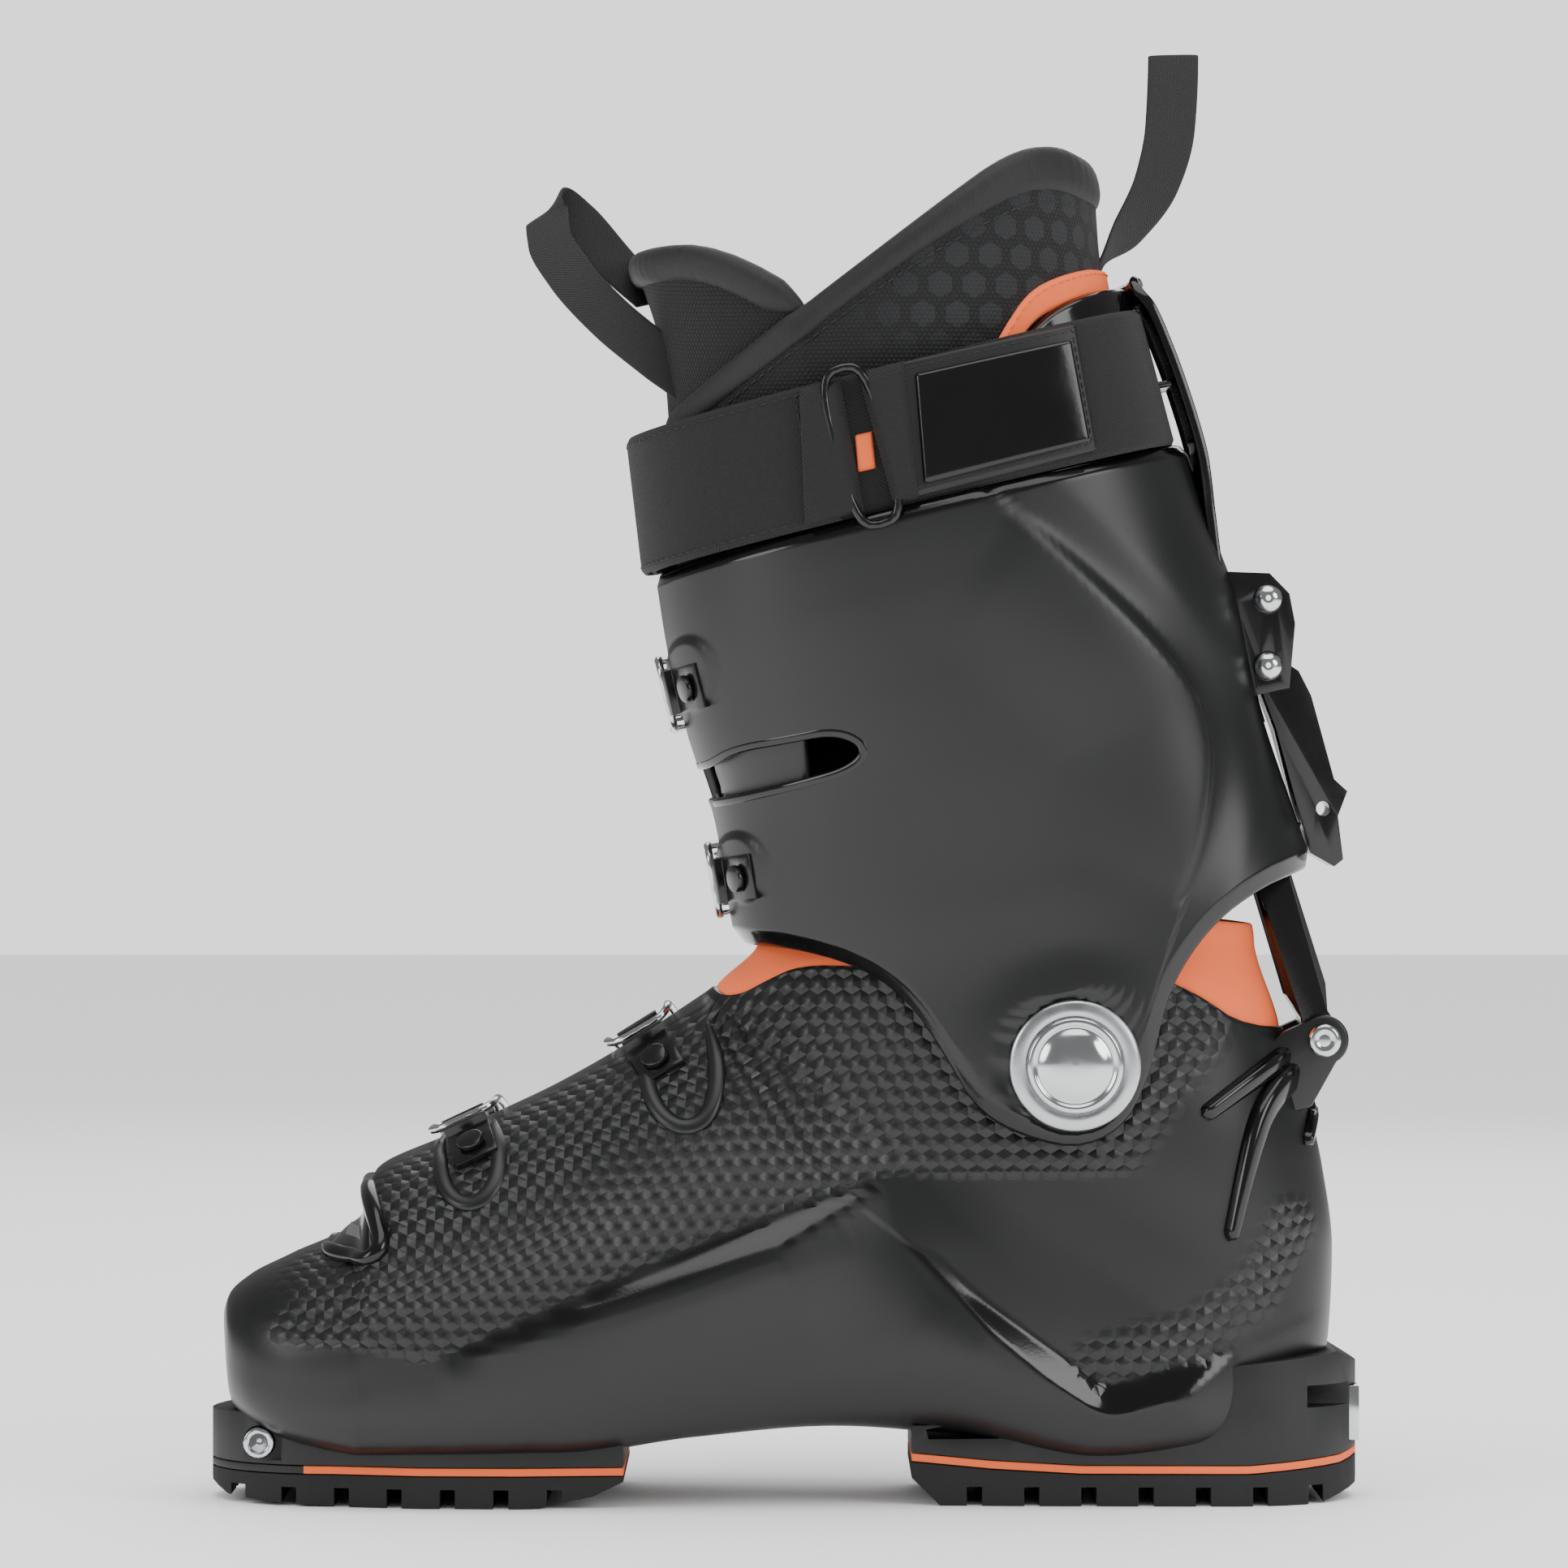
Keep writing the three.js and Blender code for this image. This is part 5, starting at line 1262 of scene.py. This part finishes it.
# ---- soft parts ------------------------------------------------------------------------------------
FRONT = np.radians(90)
TONGUE_HALF = np.radians(70)  # the tongue reaches this far either side of the front
SLIT_HALF = np.radians(10)  # the leg is open this far either side of the front
ROW_STEP = 36  # millimetres between two sections at the top of the leg
STRAP_ROWS = 22


class BOOT_OT_gaiter(bpy.types.Operator):
    """Builds the orange gaiter between the lower shell and the cuff"""

    bl_idname = "boot.gaiter"
    bl_label = "Gaiter"

    def execute(self, context):
        look = finishes()
        angle = np.linspace(0, TAU, 145)[:-1]
        low = edge_at(SHELL, angle, RIM, -1.0, TOE_SECTIONS, past=-3.0)
        high = np.minimum(edge_at(SHELL, angle, LEG_FOOT, -1.0, past=-0.5), len(SHELL) - 1)
        low = np.minimum(low, high - 0.2)

        def relief(flat, _):
            way = way_along(flat)
            share = way / np.maximum(way[-1:], 1)
            fold = -1.2 + 0.7 * np.sin(share * np.pi * 2.0) * ramp(0.0, 0.2, share) * (1 - ramp(0.8, 1, share))
            return fold, np.zeros_like(share), np.zeros_like(share)

        made = wall_of_skin("gaiter_finished", SHELL, angle, low, high, 2.8, 40, relief, 0, 20, bulge=0.3)
        finish_piece(made, look["orange"], None, ["gaiter"])
        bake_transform(made)
        return {"FINISHED"}


def tongue_lean(u, turn):
    """How far the tongue's top stands forward of the leg."""
    return ramp(5.6, 6.8, u) * np.cos(turn - FRONT) ** 2 * 3.4


class BOOT_OT_liner(bpy.types.Operator):
    """Builds the padded liner leg, its binding, print, tongue and orange patch"""

    bl_idname = "boot.liner"
    bl_label = "Liner"

    def execute(self, context):
        s, look = context.scene.boot_sizes, finishes()
        wall = s.liner_wall / MM
        turn = np.linspace(FRONT + SLIT_HALF, FRONT + TAU - SLIT_HALF, 170)
        wedge = np.minimum(turn - FRONT, FRONT + TAU - turn)
        over = 1 - ramp(TONGUE_HALF - 0.02, TONGUE_HALF + 0.07, wedge)
        low = edge_at(LEG, turn, LEG_FOOT)
        low = low + over * (4.6 - low)
        high = edge_at(LEG, turn, COLLAR)
        rows = 150
        share = np.linspace(0, 1, rows)[:, None]
        # The cloth stops inside the roll that binds its edge.
        u = even_rows(LEG, low[None], high[None] - 3.0 / ROW_STEP, share)
        flat = skin(LEG, u, turn)
        x, z = flat[..., 0], flat[..., 2]
        way = way_along(flat)
        above_strap = ramp(284, 292, z - (x + 30) * 0.24)
        pad = 0.8 * above_strap * np.sin(np.pi * np.clip((way - way[-1:] + 60) / 60, 0, 1)) ** 0.7
        outside = over[None] * 2.0 + pad * (1 - over[None])
        inside = -wall * (1 - over[None]) + 0.4 * over[None] + 0 * u
        outer, inner = skin(LEG, u, turn, outside), skin(LEG, u, turn, inside)
        points, faces = slip(outer, inner)
        table = pattern_table(LEG, u, turn, True)
        side_table = pattern_table(LEG, u, turn, False)
        medial = quads(rows, len(turn))
        split = (turn[:-1] + turn[1:]) / 2
        which = np.tile(split < 1.5 * np.pi, rows - 1)
        uv = np.where(which[:, None, None], table.reshape(-1, 2)[medial], side_table.reshape(-1, 2)[medial])
        # printed cells fade in towards the back of the panel
        printed = ramp(10, 45, x) * (1 - ramp(-22, -8, z - np.interp(x, *np.array(COLLAR).T)) * 0.4) * ramp(300, 312, z)
        marks = {"printed": np.concatenate([printed.ravel(), 0 * printed.ravel()])}
        leg = make("liner_leg", points, faces, corner_uv=both_faces(uv, faces), masks=marks)
        finish_piece(leg, look["mesh"], "cuff", ["liner_cuff"])
        self.binding(look, s)
        self.tongue(look)
        self.patch(look, s)
        return {"FINISHED"}

    def roll(self, name, u, turn, offset, thick, tall, look):
        """A padded roll along an edge of the leg: an oval section, thick across the wall and tall along it, that
        thins towards its ends."""
        middle = skin(LEG, u, turn, offset)
        out = unit(skin(LEG, u, turn, offset + 1) - middle)
        ahead = unit(np.gradient(middle, axis=0))
        up = unit(np.cross(ahead, out))
        up = up * np.sign(up[:, 2:3])
        t = np.linspace(0, TAU, 21)[:-1]
        a = np.sign(np.cos(t)) * np.abs(np.cos(t)) ** 0.85
        b = np.sign(np.sin(t)) * np.abs(np.sin(t)) ** 0.85
        thick, tall = np.broadcast_to(thick, u.shape), np.broadcast_to(tall, u.shape)
        pucker = 1 + 0.025 * np.sin(np.arange(len(u)) * 1.9)
        rings = middle[:, None] + out[:, None] * (a[None, :, None] * (thick * pucker)[:, None, None] / 2)
        rings = rings + up[:, None] * (b[None, :, None] * tall[:, None, None] / 2)
        made = make(name, *tube(rings))
        finish_piece(made, look["binding"], "cuff")

    def binding(self, look, s):
        """The roll round the collar, wider at the back, with a line of stitches under it."""
        turn = np.linspace(FRONT + SLIT_HALF, FRONT + TAU - SLIT_HALF, 220)
        high = edge_at(LEG, turn, COLLAR)
        wedge = np.minimum(turn - FRONT, FRONT + TAU - turn)
        over = 1 - ramp(TONGUE_HALF - 0.05, TONGUE_HALF + 0.1, wedge)
        share = np.minimum(turn - turn[0], turn[-1] - turn) / (np.pi - SLIT_HALF)
        ends = np.sqrt(np.clip(share / 0.06, 0.1, 1))
        wide = s.binding_width / MM * (1 + 0.75 * ramp(0.45, 0.85, share))
        drop = wide / 2 / ROW_STEP
        offset = -2.6 * (1 - over) + 1.2 * over
        thick = (8.2 * (1 - over) + 4.0 * over) * ends
        self.roll("collar_binding", high - drop, turn, offset, thick, wide * ends, look)
        for side, half in (("medial", turn < 1.5 * np.pi - 0.35), ("lateral", turn > 1.5 * np.pi + 0.35)):
            line = (high - (wide + 2.0) / ROW_STEP)[half]
            height = (0.5 * (1 - over) + 2.1 * over)[half]
            made = seam_on(f"binding_stitches_{side}", LEG, line, turn[half], height, s.stitch_pitch / MM)
            finish_piece(made, look["thread"], "cuff")

    def tongue(self, look):
        """The tongue: a padded wall in front of the leg, ribbed inside, with a roll round its top."""
        turn = np.linspace(FRONT - TONGUE_HALF, FRONT + TONGUE_HALF, 90)
        high = edge_at(LEG, turn, TONGUE_TOP)
        u = even_rows(LEG, 2.6, high, np.linspace(0, 1, 90)[:, None])
        across = np.sin(np.linspace(0, np.pi, 90)) ** 0.3
        quilt = 0.5 * np.abs(np.sin(u * 9.0))
        rise = tongue_lean(u, turn)
        outside = (across[None] - 1) * 1.2 + rise
        inside = -5 * across[None] - quilt * across[None] - 1.2 * (1 - across[None]) + rise
        points, faces = slip(skin(LEG, u, turn, outside), skin(LEG, u, turn, inside))
        table = pattern_table(LEG, u, turn, True)
        made = make("tongue", points, faces, corner_uv=both_faces(corners(table, 90, 90, False), faces))
        finish_piece(made, look["mesh"], "cuff", ["liner_tongue"])
        share = np.linspace(-1, 1, 120)
        turn = FRONT + share * (TONGUE_HALF + 0.02)
        high = edge_at(LEG, turn, TONGUE_TOP)
        ends = np.sqrt(np.clip((1 - np.abs(share)) / 0.12, 0.12, 1))
        self.roll("tongue_roll", high - 3.0 / ROW_STEP, turn, tongue_lean(high, turn) - 2.4, 8.2 * ends,
                  9.4 * ends, look)

    def patch(self, look, s):
        """The stitched orange patch over the liner's back."""
        turn = np.linspace(np.radians(200), np.radians(340), 110)
        line = [(0, 290), (52, 299), (57, 308), (63, 318), (72, 323), (84, 326.5), (120, 327)]
        top = edge_at(LEG, turn, line)
        u = top[None] - np.linspace(1, 0, 14)[:, None] * 0.26
        made = pillow("orange_patch", LEG, u, turn, 0.5, 2.0, 1.2)
        finish_piece(made, look["orange"], "cuff")
        made = seam_on("orange_patch_stitches", LEG, top - 0.05, turn, 2.1, s.stitch_pitch / MM, radius=0.24)
        finish_piece(made, look["orange_thread"], "cuff")


class BOOT_OT_straps(bpy.types.Operator):
    """Builds the power strap, its ring, pad and tab, and both pull loops"""

    bl_idname = "boot.straps"
    bl_label = "Straps and loops"

    def strap_layer(self, name, start, stop, low, high, cols):
        """Webbing round the leg between two angles, with its pattern in millimetres along and across."""
        turn = np.linspace(start, stop, cols)
        u = np.broadcast_to(eased(STRAP_ROWS, 0.3)[:, None], (STRAP_ROWS, cols))
        flat = skin(STRAP, u, turn, low)
        way = way_along(flat[STRAP_ROWS // 2])
        from_edge = np.clip(np.minimum(u, 1 - u) * ROW_STEP / 0.8, 0, 1)
        top = high - (high - low) * 0.5 * (1 - np.sqrt(1 - (1 - from_edge) ** 2))
        points, faces = slip(skin(STRAP, u, turn, top), flat)
        table = np.stack(np.broadcast_arrays(way, u * ROW_STEP), -1)
        uv = corners(table, STRAP_ROWS, cols, False)
        return make(name, points, faces, corner_uv=both_faces(uv, faces)), way[-1]

    def execute(self, context):
        s, look = context.scene.boot_sizes, finishes()
        pitch = s.stitch_pitch / MM
        whole, length = self.strap_layer("power_strap_finished", np.radians(90.5), np.radians(449.5), -2.0, -0.1, 220)
        finish_piece(whole, look["webbing"], "cuff", ["power_strap"])
        ring_turn = side_place(STRAP, [12.0], [277.0])[1][0]
        front, front_length = self.strap_layer("power_strap_front", ring_turn, np.radians(-28), 0.2, 1.9, 150)
        finish_piece(front, look["webbing"], "cuff")
        turn = np.linspace(ring_turn - 0.02, np.radians(-26), 200)
        for name, level in (("low", 0.055), ("high", 0.945)):
            made = seam_on(f"strap_stitches_{name}", STRAP, np.full(200, level), turn, 1.95, pitch, radius=0.2)
            finish_piece(made, look["thread"], "cuff")
        for k, gap in enumerate((0.04, 0.085)):
            made = seam_on(f"strap_end_stitches_{k}", STRAP, np.linspace(0.04, 0.96, 40), np.full(40, ring_turn - gap),
                           1.95, 2.4, length=1.8, radius=0.22)
            finish_piece(made, look["thread"], "cuff")
        self.ring_and_pad(look)
        self.loops(look)
        return {"FINISHED"}

    def ring_and_pad(self, look):
        """The wire ring, the glossy pad with its stitched border, and the orange tab in the ring."""
        finish_piece(dressed("strap_ring", 0, smooth=1), look["black_steel"])
        border = side_pillow("strap_pad_finished", STRAP, [(28, 262.5), (80.8, 276), (75, 309.2), (27.6, 298.6)],
                             0.2, 2.0, 0.9, 30, 40)
        finish_piece(border, look["matt_vinyl"], "cuff", ["strap_pad"])
        plate = side_pillow("strap_pad_plate", STRAP, [(36, 267.4), (78, 278), (73, 304.6), (33.6, 295.8)],
                            1.8, 3.3, 0.8, 30, 40)
        finish_piece(plate, look["vinyl"], "cuff")
        frame_line = even_line([(31.5, 265.6), (78.8, 277.6), (73.6, 307), (30.8, 297), (31.5, 265.6)], 0.8)
        u, turn = side_place(STRAP, frame_line[:, 0], frame_line[:, 1])
        made = seam_on("strap_pad_stitches", STRAP, u, turn, 2.05, 2.4, length=1.7, radius=0.22)
        finish_piece(made, look["thread"], "cuff")
        folds = {
            "ring_fold_front": [(6, 256.2), (21, 260), (14.6, 295), (4.4, 292.4)],
            "ring_fold_back": [(28.4, 262), (35, 263.6), (31, 300.6), (18.8, 297.6)],
        }
        for name, quad in folds.items():
            made = side_pillow(name, STRAP, quad, 0.2, 5.0, 3.2, 30, 24)
            finish_piece(made, look["webbing"], "cuff")
        tab = side_pillow("orange_tab", STRAP, [(19.2, 270.4), (23.8, 271.4), (22.8, 281), (18.4, 280)], -0.1, 0.9, 0.4,
                          12, 10)
        finish_piece(tab, look["orange"], "cuff")

    def loops(self, look):
        """The pull loops of the tongue and of the liner's back: webbing that folds over and comes back."""
        centre = [(-22.5, -12, 291), (-27, -13, 297), (-34, -12.5, 303), (-46, -10.5, 313), (-57, -8.5, 325),
                  (-62.5, -5.5, 334.5), (-63.2, -1.5, 341), (-60.5, 2.5, 343.2), (-55, 5, 339.5), (-47, 6, 331),
                  (-40.5, 5.5, 324), (-36, 4, 318)]
        across = [(0.3, 0.75, 0.55), (0.5, 0.4, 0.65), (0.6, 0.1, 0.7), (0.68, -0.1, 0.7), (0.72, -0.15, 0.66),
                  (0.73, -0.1, 0.68), (0.73, 0.1, 0.68), (0.72, 0.15, 0.68), (0.68, 0.3, 0.66), (0.6, 0.45, 0.6),
                  (0.5, 0.6, 0.5), (0.35, 0.8, 0.35)]
        made = band("front_pull_loop", centre, across, 12.6, 1.3, 160)
        finish_piece(made, look["loop"], "cuff", ["liner_front_loop"])
        centre = [(81.5, -1.4, 318), (84.5, -1.6, 328), (92, -1.6, 337.5), (99.5, -1.6, 350), (103, -1.4, 364),
                  (103.8, -1.1, 378), (103.9, -0.4, 383.6), (103.9, 0.4, 383.6), (103.8, 1.1, 378), (103, 1.4, 364),
                  (99.5, 1.6, 350), (92, 1.6, 337.5), (84.5, 1.6, 328), (81.5, 1.4, 318)]
        half = [(0.05, 1, 0.1), (0.15, 0.98, 0.1), (0.55, 0.75, -0.35), (0.85, 0.4, -0.3), (0.97, 0.12, -0.12),
                (1, 0, 0.02), (1, 0, 0.02)]
        across = half + half[::-1]
        made = band("rear_pull_loop", centre, across, 13.4, 1.1, 200)
        finish_piece(made, look["loop"], "cuff", ["liner_rear_loop"])


# ---- stage -----------------------------------------------------------------------------------------


class BOOT_OT_stage(bpy.types.Operator):
    """Sets the pale floor, the soft lights and the camera"""

    bl_idname = "boot.stage"
    bl_label = "Stage"

    def execute(self, context):
        x, y = np.meshgrid(np.linspace(-6000, 6000, 3), np.linspace(-6000, 6000, 3))
        made = make("floor", np.stack([x, y, np.zeros_like(x)], -1), quads(3, 3))
        if made.data.polygons[0].normal.z < 0:
            made.data.flip_normals()
        made.data.materials.append(new_material("pale_studio_floor", plain_paint, "#ffffff", 0.85))
        world = bpy.data.worlds.new("studio")
        world.use_nodes = True
        back = world.node_tree.nodes["Background"]
        # The backdrop mirrors darker than it is seen, so that glossy pieces show the lamps' shapes.
        g = Graph(world.node_tree)
        ray = g.add("LightPath").node.outputs
        seen = g.remap(ray["Is Camera Ray"], 0.0, 1.0, 1.25, 1.6)
        g.fill(back, {0: to_linear("#ffffff"), 1: g.add("Mix", {0: ray["Is Glossy Ray"], 2: seen, 3: 0.24})})
        context.scene.world = world
        lights = {
            "overhead": ((0.1, -0.3, 1.5), (0, 0, 0.12), 1.5, 13),
            "left": ((-1.4, -0.9, 0.7), (0, 0, 0.2), 0.9, 8),
            "right": ((1.3, -1.0, 0.8), (0.05, 0, 0.2), 0.9, 10),
            "behind": ((0.2, 1.5, 1.2), (0, 0, 0.2), 1.4, 9),
        }
        for name, (place, aim, size, power) in lights.items():
            lamp = bpy.data.lights.new(name, "AREA")
            lamp.shape, lamp.size, lamp.energy = "DISK", size, power
            holder = bpy.data.objects.new(name, lamp)
            holder.location = place
            holder.rotation_euler = (Vector(aim) - Vector(place)).to_track_quat("-Z", "Y").to_euler()
            context.scene.collection.objects.link(holder)
        lens = bpy.data.cameras.new("camera")
        lens.sensor_width, lens.lens = 36, 163.4
        lens.clip_end = 50
        camera = bpy.data.objects.new("camera", lens)
        camera.location = (0, -1.9, 0.1895)
        camera.rotation_euler = (np.pi / 2, 0, 0)
        context.scene.collection.objects.link(camera)
        context.scene.camera = camera
        return {"FINISHED"}


OPERATORS = (BOOT_OT_lower_shell, BOOT_OT_sole, BOOT_OT_cuff, BOOT_OT_pivots, BOOT_OT_lean_lock, BOOT_OT_buckles,
             BOOT_OT_gaiter, BOOT_OT_liner, BOOT_OT_straps, BOOT_OT_stage)


class BOOT_PT_panel(bpy.types.Panel):
    """Lists the sizes, the colours and the buttons that build the boot's parts"""

    bl_label = "Ski touring boot"
    bl_space_type = "VIEW_3D"
    bl_region_type = "UI"
    bl_category = "Boot"

    def draw(self, context):
        for group in (context.scene.boot_sizes, context.scene.boot_colours):
            for name in group.__annotations__:
                self.layout.prop(group, name)
        for operator in OPERATORS:
            self.layout.operator(operator.bl_idname)


CLASSES = (BootSizes, BootColours, *OPERATORS, BOOT_PT_panel)


def register():
    for cls in CLASSES:
        bpy.utils.register_class(cls)
    bpy.types.Scene.boot_sizes = PointerProperty(type=BootSizes)
    bpy.types.Scene.boot_colours = PointerProperty(type=BootColours)


def unregister():
    del bpy.types.Scene.boot_colours
    del bpy.types.Scene.boot_sizes
    for cls in reversed(CLASSES):
        bpy.utils.unregister_class(cls)


def main():
    register()
    for operator in OPERATORS:
        group, name = operator.bl_idname.split(".")
        getattr(getattr(bpy.ops, group), name)()


if __name__ == "__main__":
    main()
